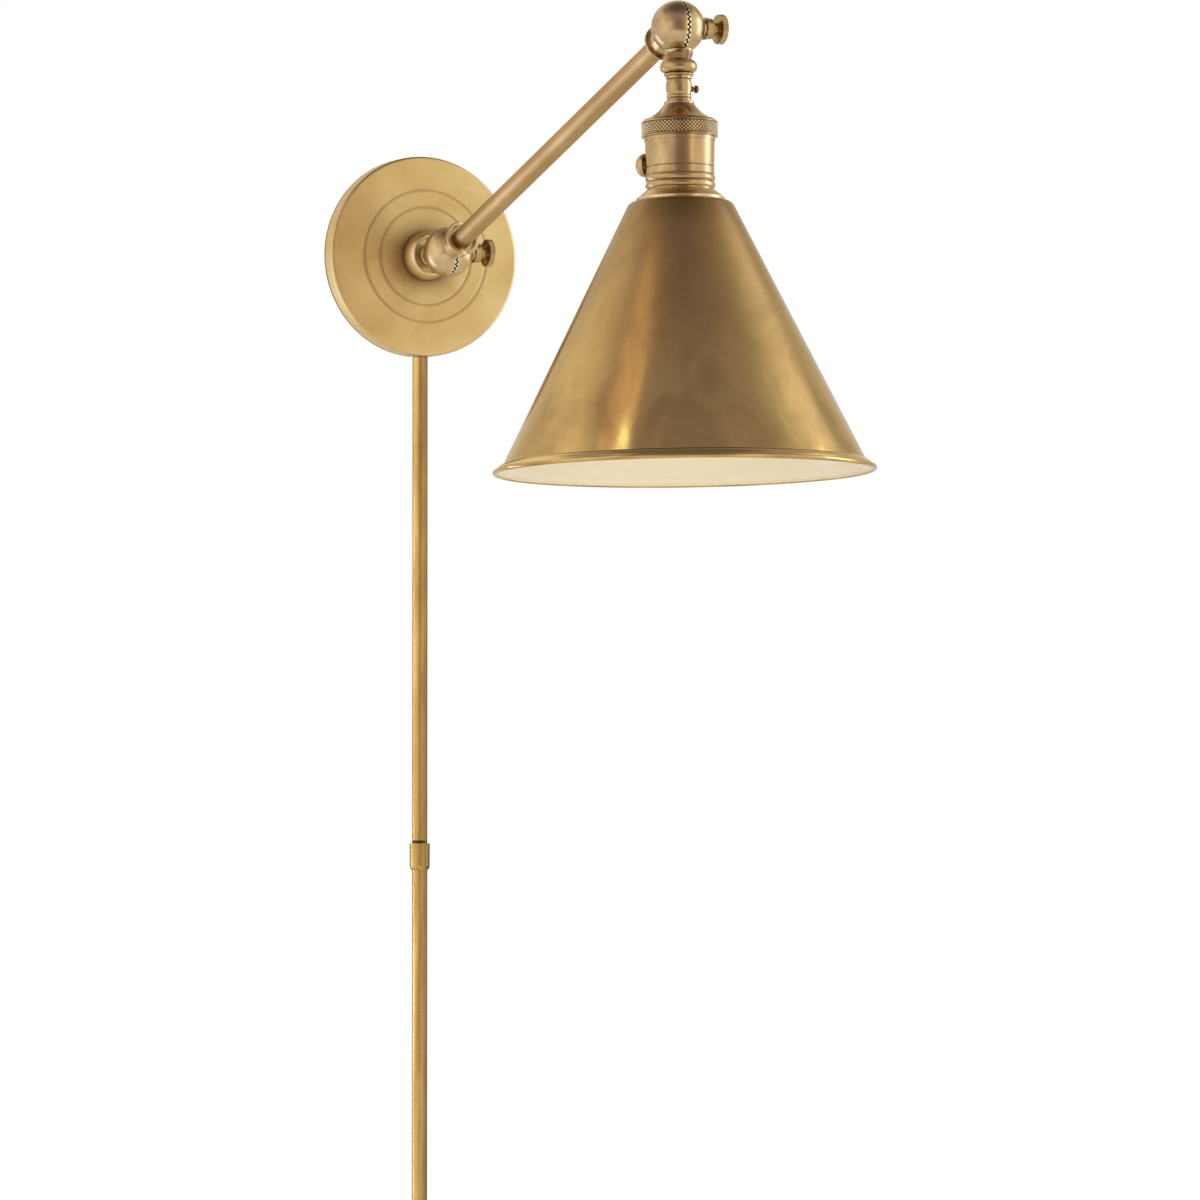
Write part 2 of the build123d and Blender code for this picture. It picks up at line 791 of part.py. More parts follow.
# Moulded core that holds the switch, the terminals and the screw shell, with a well for the contact
core_top = cap_end + core_drop
core_end = core_top + core_height
with BuildPart() as socket_core:
    with BuildSketch(across(upper_ball + head_way * core_top, head_way)):
        Circle(core_radius)
    extrude(amount=core_height)
    with BuildSketch(across(upper_ball + head_way * core_top, head_way)):
        with GridLocations(terminal_spacing, 0, 2, 1):
            Circle(terminal_shank_radius + thread_gap)
    extrude(amount=terminal_shank_length, mode=Mode.SUBTRACT)
    with BuildSketch(switch_plane.offset(switch_shaft_root)):
        Circle(switch_shaft_radius + running_gap)
    extrude(amount=socket_radius, mode=Mode.SUBTRACT)
    with BuildSketch(across(upper_ball + head_way * core_end, -head_way)):
        Circle(shell_hole_radius)
    extrude(amount=contact_well, mode=Mode.SUBTRACT)
save(socket_core.part, "socket_core")

with BuildPart() as terminal_screws:
    with BuildSketch(across(upper_ball + head_way * core_top, -head_way)):
        with GridLocations(terminal_spacing, 0, 2, 1):
            Circle(terminal_head_radius)
    extrude(amount=terminal_head_height)
    with BuildSketch(across(upper_ball + head_way * core_top, head_way)):
        with GridLocations(terminal_spacing, 0, 2, 1):
            Circle(terminal_shank_radius)
    extrude(amount=terminal_shank_length)
save(terminal_screws.part, "terminal_screws")

# Screw shell for the lamp, with a hole in its floor for the contact
with BuildPart() as screw_shell:
    with BuildSketch(across(upper_ball + head_way * core_end, head_way)):
        Circle(shell_bore + shell_wall)
    extrude(amount=shell_length)
    with BuildSketch(across(upper_ball + head_way * (core_end + shell_wall), head_way)):
        Circle(shell_bore)
    extrude(amount=shell_length, mode=Mode.SUBTRACT)
    with BuildSketch(across(upper_ball + head_way * core_end, head_way)):
        Circle(shell_hole_radius)
    extrude(amount=shell_length, mode=Mode.SUBTRACT)
save(screw_shell.part, "screw_shell")

# Centre contact: a bent spring tongue on the well's floor
well_floor = core_end - contact_well
with BuildPart() as centre_contact:
    with BuildSketch(along(upper_ball + head_way * well_floor, head_way)):
        with BuildLine():
            Polyline(
                (-contact_length / 2, 0),
                (0, 0),
                (0, contact_thickness),
                (-contact_length / 2 + contact_rise, contact_thickness),
                (contact_length / 2, contact_thickness + contact_rise),
                (contact_length / 2, 2 * contact_thickness + contact_rise),
                (-contact_length / 2, 2 * contact_thickness),
                close=True,
            )
        make_face()
    extrude(amount=contact_width / 2, both=True)
save(centre_contact.part, "centre_contact")

# Rotary switch: bush through the shell, shaft and domed knob
bush_face = socket_radius + socket_lip_proud
with BuildPart() as switch_bush:
    with BuildSketch(switch_plane.offset(core_radius + running_gap)):
        Circle(switch_bush_radius)
    extrude(amount=bush_face - core_radius - running_gap)
    with BuildSketch(switch_plane.offset(bush_face)):
        Circle(switch_bush_collar_radius)
    extrude(amount=switch_bush_collar)
    with BuildSketch(switch_plane):
        Circle(switch_shaft_radius + running_gap)
    extrude(amount=2 * socket_radius, mode=Mode.SUBTRACT)
save(switch_bush.part, "switch_bush")

knob_start = bush_face + switch_bush_collar
with BuildPart() as switch_shaft:
    with BuildSketch(switch_plane.offset(switch_shaft_root)):
        Circle(switch_shaft_radius)
    extrude(amount=knob_start + switch_knob_grip - switch_shaft_root)
save(switch_shaft.part, "switch_shaft")

with BuildPart() as switch_knob:
    with BuildSketch(switch_plane.offset(knob_start)):
        Circle(switch_knob_radius)
    extrude(amount=switch_knob_length)
    knob_tip = switch_knob.edges().sort_by(Axis(switch_point, switch_way))[-1]
    fillet(knob_tip, min(switch_knob_length, switch_knob_radius) * switch_knob_dome)
    with BuildSketch(switch_plane.offset(knob_start)):
        Circle(switch_shaft_radius)
    extrude(amount=switch_knob_grip, mode=Mode.SUBTRACT)
save(switch_knob.part, "switch_knob")

# Shade fitter: flared flange with a threaded sleeve
sleeve_top = core_end + sleeve_gap
flare_end_level = socket_end + fitter_flare
fitter_end = flare_end_level + fitter_rim
with BuildPart() as shade_fitter:
    with BuildSketch(along(upper_ball, head_way)):
        with BuildLine():
            Polyline(
                (sleeve_radius - sleeve_wall, sleeve_top),
                (sleeve_radius, sleeve_top),
                (sleeve_radius, socket_end),
                (fitter_top_radius, socket_end),
                (fitter_radius, flare_end_level),
                (fitter_radius, fitter_end),
                (sleeve_radius, fitter_end),
                (sleeve_radius, fitter_end + sleeve_down),
                (sleeve_radius - sleeve_wall, fitter_end + sleeve_down),
                close=True,
            )
        make_face()
    revolve(axis=Axis(upper_ball, head_way))
save(shade_fitter.part, "shade_fitter")

# Shade: spun cone with a small shoulder and a creased, rolled flange with a bead
shade_hole = sleeve_radius + shade_hole_gap
cone_top = fitter_end + shade_shoulder_drop
cone_end = cone_top + shade_cone_height
lip_level = cone_end + shade_lip_drop
with BuildPart() as shade:
    with BuildSketch(along(upper_ball, head_way)):
        with BuildLine():
            cone_way = Vector(shade_cone_radius - shade_shoulder_radius, shade_cone_height).normalized()
            bead_edge = (shade_lip_radius - shade_bead_radius, lip_level)
            Line((shade_hole, fitter_end), (shade_flat_radius, fitter_end))
            TangentArc(
                (shade_shoulder_radius, cone_top),
                (shade_flat_radius, fitter_end),
                tangent=-cone_way,
            )
            Line((shade_shoulder_radius, cone_top), (shade_cone_radius, cone_end))
            flange = Vector(bead_edge) - Vector(shade_cone_radius, cone_end)
            flange_way = flange.normalized()
            bulge = Vector(flange_way.Y, -flange_way.X) * shade_lip_bulge
            ThreePointArc(
                (shade_cone_radius, cone_end),
                Vector(shade_cone_radius, cone_end) + flange / 2 + bulge,
                bead_edge,
            )
            offset(amount=shade_wall, side=Side.LEFT)
        make_face()
        with Locations(bead_edge):
            Circle(shade_bead_radius)
    revolve(axis=Axis(upper_ball, head_way))
save(shade.part, "shade")

# Retaining ring that holds the shade to the fitter from inside
ring_nut_top = fitter_end + shade_wall
with BuildPart() as shade_ring:
    with BuildSketch(across(upper_ball + head_way * ring_nut_top, head_way)):
        Circle(ring_nut_radius)
        Circle(sleeve_radius + thread_gap, mode=Mode.SUBTRACT)
        with PolarLocations(ring_nut_radius, ring_nut_lugs):
            Circle(ring_nut_notch / 2, mode=Mode.SUBTRACT)
    extrude(amount=ring_nut_height)
save(shade_ring.part, "shade_ring")

# Cord cover: two tubes slotted along the back, and the coupling where they meet
cover_top = -plate_radius + cover_tuck
joint_level = cover_top - cover_section
cover_plane = Plane(origin=(0, -cover_axis, cover_top), x_dir=(1, 0, 0), z_dir=(0, 0, -1))
lower_plane = cover_plane.offset(cover_section + coupling_rib)


def cover_tube(plane):
    with BuildPart() as tube:
        with BuildSketch(plane):
            Circle(cover_radius)
            Circle(cover_radius - cover_wall, mode=Mode.SUBTRACT)
            Rectangle(
                cover_slot, 2 * cover_radius, align=(Align.CENTER, Align.MAX), mode=Mode.SUBTRACT
            )
        extrude(amount=cover_section)
    return tube.part


save(cover_tube(cover_plane), "cord_cover_upper")
save(cover_tube(lower_plane), "cord_cover_lower")

with BuildPart() as cord_cover_coupling:
    cover_line = Vector(0, -cover_axis, joint_level)
    down = Vector(0, 0, -1)
    socket_half = (coupling_length - coupling_rib) / 2
    with BuildSketch(along(cover_line, down)):
        with BuildLine():
            tube_seat = cover_radius + thread_gap
            taper_start = coupling_rib + socket_half - coupling_taper
            Polyline(
                (coupling_mouth_radius, -socket_half),
                (coupling_radius, -socket_half),
                (coupling_radius, taper_start),
            )
            TangentArc(
                (coupling_radius, taper_start),
                (tube_seat + coupling_back, coupling_rib + socket_half),
                tangent=(0, 1),
            )
            Polyline(
                (tube_seat + coupling_back, coupling_rib + socket_half),
                (tube_seat, coupling_rib + socket_half),
                (tube_seat, coupling_rib),
                (cover_radius - cover_wall, coupling_rib),
                (cover_radius - cover_wall, 0),
                (tube_seat, 0),
                (tube_seat, -socket_half + coupling_mouth_depth),
                (coupling_mouth_radius, -socket_half + coupling_mouth_depth),
                (coupling_mouth_radius, -socket_half),
            )
        make_face()
    revolve(axis=Axis(cover_line, down))
    with BuildSketch(Plane(origin=(0, -coupling_back, joint_level), z_dir=(0, 1, 0))):
        Rectangle(4 * coupling_radius, 4 * coupling_length)
    extrude(amount=coupling_radius, mode=Mode.SUBTRACT)
    with BuildSketch(across(cover_line - down * coupling_length, down)):
        Rectangle(cover_slot, 2 * coupling_radius, align=(Align.CENTER, Align.MAX))
    extrude(amount=2 * coupling_length, mode=Mode.SUBTRACT)
save(cord_cover_coupling.part, "cord_cover_coupling")
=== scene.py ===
import bmesh
import bpy
import math
from mathutils import Matrix, Vector


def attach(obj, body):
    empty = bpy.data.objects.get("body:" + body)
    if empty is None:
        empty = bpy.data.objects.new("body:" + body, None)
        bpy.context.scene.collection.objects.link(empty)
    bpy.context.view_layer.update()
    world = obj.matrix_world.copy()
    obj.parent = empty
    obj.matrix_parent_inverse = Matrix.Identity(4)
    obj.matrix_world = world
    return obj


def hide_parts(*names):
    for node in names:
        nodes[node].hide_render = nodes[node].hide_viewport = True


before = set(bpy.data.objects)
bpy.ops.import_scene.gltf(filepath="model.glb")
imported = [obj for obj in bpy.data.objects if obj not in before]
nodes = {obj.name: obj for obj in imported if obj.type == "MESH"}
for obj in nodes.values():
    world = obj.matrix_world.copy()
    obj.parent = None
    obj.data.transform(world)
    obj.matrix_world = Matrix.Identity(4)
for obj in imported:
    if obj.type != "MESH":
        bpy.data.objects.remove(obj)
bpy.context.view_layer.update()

mm = 0.001
cornerAngle = math.radians(32)
weldDistance = 1e-7
print("frame loaded:", len(nodes), "CAD pieces")

# Where the light's own axes run, in metres, as in the solids
lightAxes = {
    "armRaise": 17.2,  # degrees
    "headLean": 2.0,
    "lowerBall": Vector((0, -0.0465, 0)),
    "armLength": 0.325,
    "coverAxis": 0.0046,
}
raiseAngle = math.radians(lightAxes["armRaise"])
leanAngle = math.radians(lightAxes["headLean"])
wallWay = Vector((0, -1, 0))
sideWay = Vector((1, 0, 0))
armWay = Vector((0, -math.cos(raiseAngle), math.sin(raiseAngle)))
headWay = Vector((0, -math.sin(leanAngle), -math.cos(leanAngle)))
lowerBall = lightAxes["lowerBall"]
upperBall = lowerBall + armWay * lightAxes["armLength"]
coverMiddle = Vector((0, -lightAxes["coverAxis"], 0))


def srgb(hexText):
    parts = [int(hexText[i:i + 2], 16) / 255 for i in (1, 3, 5)]
    return [c / 12.92 if c <= 0.04045 else ((c + 0.055) / 1.055) ** 2.4 for c in parts] + [1.0]


def addNode(tree, kind, settings=None, **inputs):
    # settings are the node's own fields; inputs are values or the sockets that feed them
    node = tree.nodes.new(kind)
    for field, value in (settings or {}).items():
        setattr(node, field, value)
    for key, value in inputs.items():
        socket = node.inputs[int(key[1:])] if key[0] == "i" and key[1:].isdigit() else node.inputs[key]
        if isinstance(value, bpy.types.NodeSocket):
            tree.links.new(value, socket)
        else:
            socket.default_value = value
    return node


def axisMapping(origin, way):
    # location and rotation that bring a turned piece's axis onto Z, its start onto zero
    turn = way.rotation_difference(Vector((0, 0, 1))).to_matrix()
    return tuple(-(turn @ origin)), tuple(turn.to_euler())


def newMaterial(name):
    material = bpy.data.materials.new(name)
    material.use_nodes = True
    material.node_tree.nodes.clear()
    return material, material.node_tree


def agedBrass(name, look, origin, way, lines):
    # Hand-rubbed brass under clear lacquer: cloudy satin metal, brown patina left in recesses with painted
    # shade where pieces stand close, rubbed bright on edges, with the whitish gleam of the lacquer over all.
    # lines: "turned" runs faint tool lines round the axis, "drawn" runs them along it.
    # The real lines are finer; they are drawn as coarse as they need to be to show.
    material, tree = newMaterial(name)
    place, spin = axisMapping(origin, way)
    coords = addNode(tree, "ShaderNodeTexCoord")
    local = addNode(tree, "ShaderNodeMapping", i0=coords.outputs["Object"], i1=place, i2=spin)
    apart = addNode(tree, "ShaderNodeSeparateXYZ", i0=local.outputs[0])
    across = addNode(
        tree, "ShaderNodeMath", {"operation": "MULTIPLY"}, i0=apart.outputs[0], i1=apart.outputs[0],
    )
    squared = addNode(
        tree, "ShaderNodeMath", {"operation": "MULTIPLY_ADD"},
        i0=apart.outputs[1], i1=apart.outputs[1], i2=across.outputs[0],
    )
    radius = addNode(tree, "ShaderNodeMath", {"operation": "SQRT"}, i0=squared.outputs[0])
    if lines == "turned":
        toolPath = addNode(tree, "ShaderNodeCombineXYZ", i0=radius.outputs[0], i1=apart.outputs[2])
    else:
        stretch = (1, 1, look["lineStep"] / look["lineLength"])
        toolPath = addNode(tree, "ShaderNodeMapping", i0=local.outputs[0], i3=stretch)
    toolLines = addNode(
        tree, "ShaderNodeTexNoise", Vector=toolPath.outputs[0], Scale=1 / (look["lineStep"] * mm), Detail=2.0,
    )
    # cloudy tones, stretched a little along the axis as a rubbing cloth leaves them
    clothPath = addNode(tree, "ShaderNodeMapping", i0=local.outputs[0], i3=(1, 1, look["smearShare"]))
    clouds = addNode(
        tree, "ShaderNodeTexNoise", Vector=clothPath.outputs[0], Scale=1 / (look["cloudSize"] * mm),
        Detail=4.0, Roughness=0.55, Distortion=0.8,
    )
    cloudLow, cloudHigh = look["cloudSpan"]
    cloudShare = addNode(
        tree, "ShaderNodeMapRange", Value=clouds.outputs["Fac"], i1=cloudLow, i2=cloudHigh, i3=0.0, i4=1.0,
    )
    base = addNode(
        tree, "ShaderNodeMix", {"data_type": "RGBA"}, i0=cloudShare.outputs[0],
        i6=srgb(look["brass"]), i7=srgb(look["tone"]),
    )
    if "stainAndShade" in look:
        # browner towards the start of the axis, with an uneven border
        stainAndShadeFrom, stainAndShadeTo, stainAndShadeDepth = look["stainAndShadeSpan"]
        border = look["stainAndShadeEdge"]
        uneven = addNode(
            tree, "ShaderNodeMath", {"operation": "MULTIPLY_ADD"},
            i0=clouds.outputs["Fac"], i1=border * 2 * mm, i2=apart.outputs[2],
        )
        stainedAndShaded = addNode(
            tree, "ShaderNodeMapRange", Value=uneven.outputs[0],
            i1=(stainAndShadeFrom + border) * mm, i2=(stainAndShadeTo + border) * mm, i3=stainAndShadeDepth, i4=0.0,
        )
        base = addNode(
            tree, "ShaderNodeMix", {"data_type": "RGBA"}, i0=stainedAndShaded.outputs[0],
            i6=base.outputs[2], i7=srgb(look["stainAndShade"]),
        )
    if "engraved" in look:
        # tarnish left in the two engraved rings, on the face only
        ringA, ringB, ringHalf, faceFrom, ringDepth = look["engraved"]
        onFace = addNode(
            tree, "ShaderNodeMath", {"operation": "GREATER_THAN"}, i0=apart.outputs[2], i1=faceFrom * mm,
        )
        for ring in (ringA, ringB):
            beside = addNode(
                tree, "ShaderNodeMath", {"operation": "SUBTRACT"}, i0=radius.outputs[0], i1=ring * mm,
            )
            apartFrom = addNode(tree, "ShaderNodeMath", {"operation": "ABSOLUTE"}, i0=beside.outputs[0])
            sunk = addNode(
                tree, "ShaderNodeMapRange", {"interpolation_type": "SMOOTHSTEP"}, Value=apartFrom.outputs[0],
                i1=0.0, i2=ringHalf * mm, i3=ringDepth, i4=0.0,
            )
            ringShare = addNode(
                tree, "ShaderNodeMath", {"operation": "MULTIPLY"}, i0=sunk.outputs[0], i1=onFace.outputs[0],
            )
            base = addNode(
                tree, "ShaderNodeMix", {"data_type": "RGBA"}, i0=ringShare.outputs[0],
                i6=base.outputs[2], i7=srgb(look["patina"]),
            )
    # small tarnish specks
    specks = addNode(
        tree, "ShaderNodeTexNoise", Vector=local.outputs[0], Scale=1 / (look["speckSize"] * mm), Detail=2.0,
    )
    speckLow, speckHigh = look["speckSpan"]
    speckShare = addNode(
        tree, "ShaderNodeMapRange", Value=specks.outputs["Fac"],
        i1=speckLow, i2=speckHigh, i3=0.0, i4=look["speckDepth"],
    )
    specked = addNode(
        tree, "ShaderNodeMix", {"data_type": "RGBA"}, i0=speckShare.outputs[0],
        i6=base.outputs[2], i7=srgb(look["patina"]),
    )
    # dark patina kept in recesses, and painted shade where other pieces stand close
    occlusion = addNode(
        tree, "ShaderNodeAmbientOcclusion", {"samples": 8, "only_local": False}, Distance=look["patinaAndShadeReach"] * mm,
    )
    occlusionLow, occlusionHigh = look["patinaAndShadeSpan"]
    patinaAndShadeShare = addNode(
        tree, "ShaderNodeMapRange", Value=occlusion.outputs["AO"],
        i1=occlusionLow, i2=occlusionHigh, i3=look["patinaAndShadeDepth"], i4=0.0,
    )
    patinaAndShaded = addNode(
        tree, "ShaderNodeMix", {"data_type": "RGBA"}, i0=patinaAndShadeShare.outputs[0],
        i6=specked.outputs[2], i7=srgb(look["patina"]),
    )
    # sharp edges are rubbed bright; where a look widens them, as on the knuckles, this is also a painted
    # highlight
    rounded = addNode(tree, "ShaderNodeBevel", {"samples": 6}, Radius=look["edge"] * mm)
    surface = addNode(tree, "ShaderNodeNewGeometry")
    facing = addNode(
        tree, "ShaderNodeVectorMath", {"operation": "DOT_PRODUCT"},
        i0=rounded.outputs[0], i1=surface.outputs["Normal"],
    )
    edgeLow, edgeHigh = look["edgeSpan"]
    edgeShare = addNode(
        tree, "ShaderNodeMapRange", Value=facing.outputs["Value"],
        i1=edgeLow, i2=edgeHigh, i3=look["edgeDepth"], i4=0.0,
    )
    # edges in hollows are rubbed less, but never less than the reach share
    reached = addNode(
        tree, "ShaderNodeMath", {"operation": "MAXIMUM"}, i0=occlusion.outputs["AO"], i1=look["reach"],
    )
    edgeOnly = addNode(
        tree, "ShaderNodeMath", {"operation": "MULTIPLY"}, i0=edgeShare.outputs[0], i1=reached.outputs[0],
    )
    surfaceColour = addNode(
        tree, "ShaderNodeMix", {"data_type": "RGBA"}, i0=edgeOnly.outputs[0],
        i6=patinaAndShaded.outputs[2], i7=srgb(look["rubbedAndHighlight"]),
    )
    if "paintedBandSpan" in look:
        # a painted band round the axis: painted highlight on the knuckles' seam and the shade's flange,
        # painted shade in the gap above the cord cover coupling
        paintedBandAt, paintedBandWidth, paintedBandDepth = look["paintedBandSpan"]
        off = addNode(tree, "ShaderNodeMath", {"operation": "SUBTRACT"}, i0=apart.outputs[2], i1=paintedBandAt * mm)
        away = addNode(tree, "ShaderNodeMath", {"operation": "ABSOLUTE"}, i0=off.outputs[0])
        paintedBandShare = addNode(
            tree, "ShaderNodeMapRange", Value=away.outputs[0],
            i1=paintedBandWidth * look["paintedBandSoft"] * mm, i2=paintedBandWidth * mm, i3=paintedBandDepth, i4=0.0,
        )
        surfaceColour = addNode(
            tree, "ShaderNodeMix", {"data_type": "RGBA"}, i0=paintedBandShare.outputs[0],
            i6=surfaceColour.outputs[2], i7=srgb(look["paintedBandTint"]),
        )
    if "neck" in look:
        # necks and collars, which stand out beyond the ball, are darkened towards the neck tint
        neckFrom, neckTo, neckDepth = look["neck"]
        neckShare = addNode(
            tree, "ShaderNodeMapRange", Value=radius.outputs[0],
            i1=neckFrom * mm, i2=neckTo * mm, i3=0.0, i4=neckDepth,
        )
        surfaceColour = addNode(
            tree, "ShaderNodeMix", {"data_type": "RGBA"}, i0=neckShare.outputs[0],
            i6=surfaceColour.outputs[2], i7=srgb(look["neckTint"]),
        )
    if "paintedShadeSide" in look:
        # painted shade: one side, given as a direction, is darkened towards the patina colour
        sideX, sideY, sideZ, paintedShadeDepth = look["paintedShadeSide"]
        paintedShadeLow, paintedShadeHigh = look["paintedShadeSpan"]
        turned = addNode(
            tree, "ShaderNodeVectorMath", {"operation": "DOT_PRODUCT"},
            i0=surface.outputs["Normal"], i1=(sideX, sideY, sideZ),
        )
        paintedShadeShare = addNode(
            tree, "ShaderNodeMapRange", Value=turned.outputs["Value"],
            i1=paintedShadeLow, i2=paintedShadeHigh, i3=0.0, i4=paintedShadeDepth,
        )
        surfaceColour = addNode(
            tree, "ShaderNodeMix", {"data_type": "RGBA"}, i0=paintedShadeShare.outputs[0],
            i6=surfaceColour.outputs[2], i7=srgb(look["patina"]),
        )
    # tool lines and clouds together decide how dull a place is
    roughLow, roughHigh = look["roughness"]
    glossLow, glossHigh = look["glossSpan"]
    lineShare = addNode(
        tree, "ShaderNodeMath", {"operation": "MULTIPLY_ADD"},
        i0=toolLines.outputs["Fac"], i1=look["lineGloss"], i2=clouds.outputs["Fac"],
    )
    gloss = addNode(
        tree, "ShaderNodeMapRange", Value=lineShare.outputs[0],
        i1=glossLow, i2=glossHigh, i3=roughLow, i4=roughHigh,
    )
    if "dullSpan" in look:
        # duller towards the start of the axis, where it is handled most
        dullFrom, dullTo = look["dullSpan"]
        handled = addNode(
            tree, "ShaderNodeMapRange", Value=apart.outputs[2],
            i1=dullFrom * mm, i2=dullTo * mm, i3=look["dullBy"], i4=0.0,
        )
        gloss = addNode(
            tree, "ShaderNodeMath", {"operation": "ADD"}, i0=gloss.outputs[0], i1=handled.outputs[0],
        )
    relief = addNode(
        tree, "ShaderNodeBump", Height=toolLines.outputs["Fac"], Strength=look["lineStrength"],
        Distance=look["lineDepth"] * mm,
    )
    shader = addNode(
        tree, "ShaderNodeBsdfPrincipled", Metallic=1.0, Roughness=gloss.outputs[0], Normal=relief.outputs[0],
        **{
            "Coat Weight": look["coat"], "Coat Roughness": look["lacquer"], "Coat IOR": 1.5,
            "Specular Tint": srgb(look["grazing"]),
        },
    )
    tree.links.new(surfaceColour.outputs[2], shader.inputs["Base Color"])
    addNode(tree, "ShaderNodeOutputMaterial", Surface=shader.outputs[0])
    return material


# Finishes of the brass pieces: sizes in millimetres, spans as low and high ends, depths as shares of one
brassLook = {
    "brass": "#C8A66C", "tone": "#AC8951", "patina": "#4A3319", "rubbedAndHighlight": "#EAD29E",
    "lineStep": 1.0, "lineLength": 40.0, "lineStrength": 0.18, "lineDepth": 0.02, "lineGloss": 0.35,
    "smearShare": 0.6, "cloudSize": 9.0, "cloudSpan": (0.34, 0.70),
    "speckSize": 1.4, "speckSpan": (0.60, 0.78), "speckDepth": 0.16,
    "patinaAndShadeReach": 0.9, "patinaAndShadeDepth": 0.9, "patinaAndShadeSpan": (0.40, 0.92),
    "edge": 0.35, "edgeDepth": 0.7, "edgeSpan": (0.80, 0.985), "reach": 0.0,
    "paintedBandSoft": 0.6, "paintedShadeSpan": (0.45, 0.92), "glossSpan": (0.45, 0.90),
    "roughness": (0.20, 0.32), "lacquer": 0.16, "coat": 0.6, "grazing": "#F0DCB0",
}
plateLook = dict(brassLook, brass="#E4C88C", tone="#D4B272", patina="#5A3C20", rubbedAndHighlight="#F6E4B6",
                 # painted shadow: this patina reach of 27 mm darkens the plate all round the hub
                 cloudSize=38.0, speckDepth=0.05, patinaAndShadeReach=27.0, patinaAndShadeDepth=1.0, patinaAndShadeSpan=(0.55, 0.96),
                 roughness=(0.36, 0.46), lacquer=0.30, engraved=(28.2, 38.2, 1.0, 12.0, 0.36),
                 # painted shade: a dark band along the plate's back edge
                 stainAndShade="#4A351C", stainAndShadeSpan=(0.6, 2.6, 0.85), stainAndShadeEdge=0.6)
armLook = dict(brassLook, brass="#CDAB78", tone="#BC9862", patina="#7A5E38", cloudSize=40.0,
               speckDepth=0.12, patinaAndShadeDepth=0.5, roughness=(0.40, 0.50), lacquer=0.35, coat=0.35,
               grazing="#C9A878")
# painted highlight on the tooth tips at the seam: wide, strongly rubbed edges and a bright band at the seam
knuckleLook = dict(brassLook, brass="#CAAC7E", tone="#AC8D60", rubbedAndHighlight="#FFF0CC", patinaAndShadeReach=0.7, patinaAndShadeDepth=0.75,
                   speckDepth=0.06, edge=1.1, edgeDepth=1.0, edgeSpan=(0.70, 0.97), reach=0.9,
                   paintedBandSpan=(0.0, 1.5, 0.9), paintedBandTint="#FFF0CC")
headLook = dict(knuckleLook, neck=(14.32, 14.7, 0.85), neckTint="#7A5628")
lowerLook = dict(knuckleLook, brass="#D9BC88", tone="#C0A06C", roughness=(0.28, 0.38))
hubLook = dict(knuckleLook, brass="#FBE7BA", tone="#EED4A0", patinaAndShadeDepth=0.35, roughness=(0.30, 0.40),
               edge=0.5)
thumbLook = dict(knuckleLook, brass="#C3A26A", tone="#A98754", patinaAndShadeDepth=0.25, edge=0.4,
                 # painted shade on the back of the disc, which faces the ball
                 paintedShadeSide=(-1.0, 0.0, 0.0, 0.25))
socketLook = dict(brassLook, brass="#C6A674", tone="#AD8C5C", roughness=(0.17, 0.28))
fitterLook = dict(socketLook, brass="#E6CA98", tone="#D0B07C", patinaAndShadeDepth=0.6)
shadeLook = dict(brassLook, brass="#D2AE68", tone="#A47F4A", patina="#6B4C28", cloudSize=30.0,
                 cloudSpan=(0.36, 0.76), smearShare=0.55, speckSize=2.6, speckDepth=0.12, lineStep=1.6,
                 lineStrength=0.12, roughness=(0.12, 0.22), dullSpan=(92.0, 215.0), dullBy=0.20,
                 stainAndShade="#8A6132", stainAndShadeSpan=(92.0, 190.0, 0.62), stainAndShadeEdge=30.0, coat=0.7, grazing="#E0C890",
                 # painted highlight: a bright band along the flange above the bead
                 paintedBandSpan=(233.2, 2.3, 0.8), paintedBandTint="#F6D48C")
coverLook = dict(brassLook, brass="#E6C078", tone="#BE9450", patina="#5E4422", cloudSize=8.0, smearShare=0.14,
                 # painted shade: a dark ring on the tube just above the coupling's mouth
                 roughness=(0.30, 0.40), paintedBandSpan=(339.0, 1.1, 0.9), paintedBandTint="#2E2010",
                 # painted shade on the cord cover's right side
                 coat=0.1, grazing="#7A5C30", paintedShadeSide=(0.76, -0.65, 0.0, 0.85))
# the knurl's tips are much lighter and its root band dark: rubbing and patina, and with them a painted
# highlight on the tips and painted shade in the root
knurlLook = dict(brassLook, brass="#FCEAC2", tone="#ECD2A2", patinaAndShadeDepth=0.3, speckDepth=0.0,
                 lineStrength=0.0)
rootLook = dict(brassLook, brass="#5C4426", tone="#483218", patinaAndShadeDepth=0.9)
screwLook = dict(brassLook, brass="#80643A", tone="#5E4626", rubbedAndHighlight="#D8BC84")
contactLook = dict(brassLook, brass="#D6B674", tone="#C7A461", patinaAndShadeDepth=0.4, speckDepth=0.0)

plateBrass = agedBrass("satinPlateBrass", plateLook, Vector((0, 0, 0)), wallWay, "turned")
hubBrass = agedBrass("agedHubBrass", hubLook, Vector((0, 0, 0)), wallWay, "turned")
armBrass = agedBrass("satinArmBrass", armLook, lowerBall, armWay, "drawn")
lowerKnuckleBrass = agedBrass("agedLowerKnuckleBrass", lowerLook, lowerBall, sideWay, "turned")
upperKnuckleBrass = agedBrass("agedUpperKnuckleBrass", knuckleLook, upperBall, sideWay, "turned")
headKnuckleBrass = agedBrass("agedHeadKnuckleBrass", headLook, upperBall, sideWay, "turned")
lowerThumbBrass = agedBrass("turnedLowerScrewBrass", thumbLook, lowerBall, sideWay, "turned")
upperThumbBrass = agedBrass("turnedUpperScrewBrass", thumbLook, upperBall, sideWay, "turned")
socketBrass = agedBrass("agedSocketBrass", socketLook, upperBall, headWay, "turned")
fitterBrass = agedBrass("agedFitterBrass", fitterLook, upperBall, headWay, "turned")
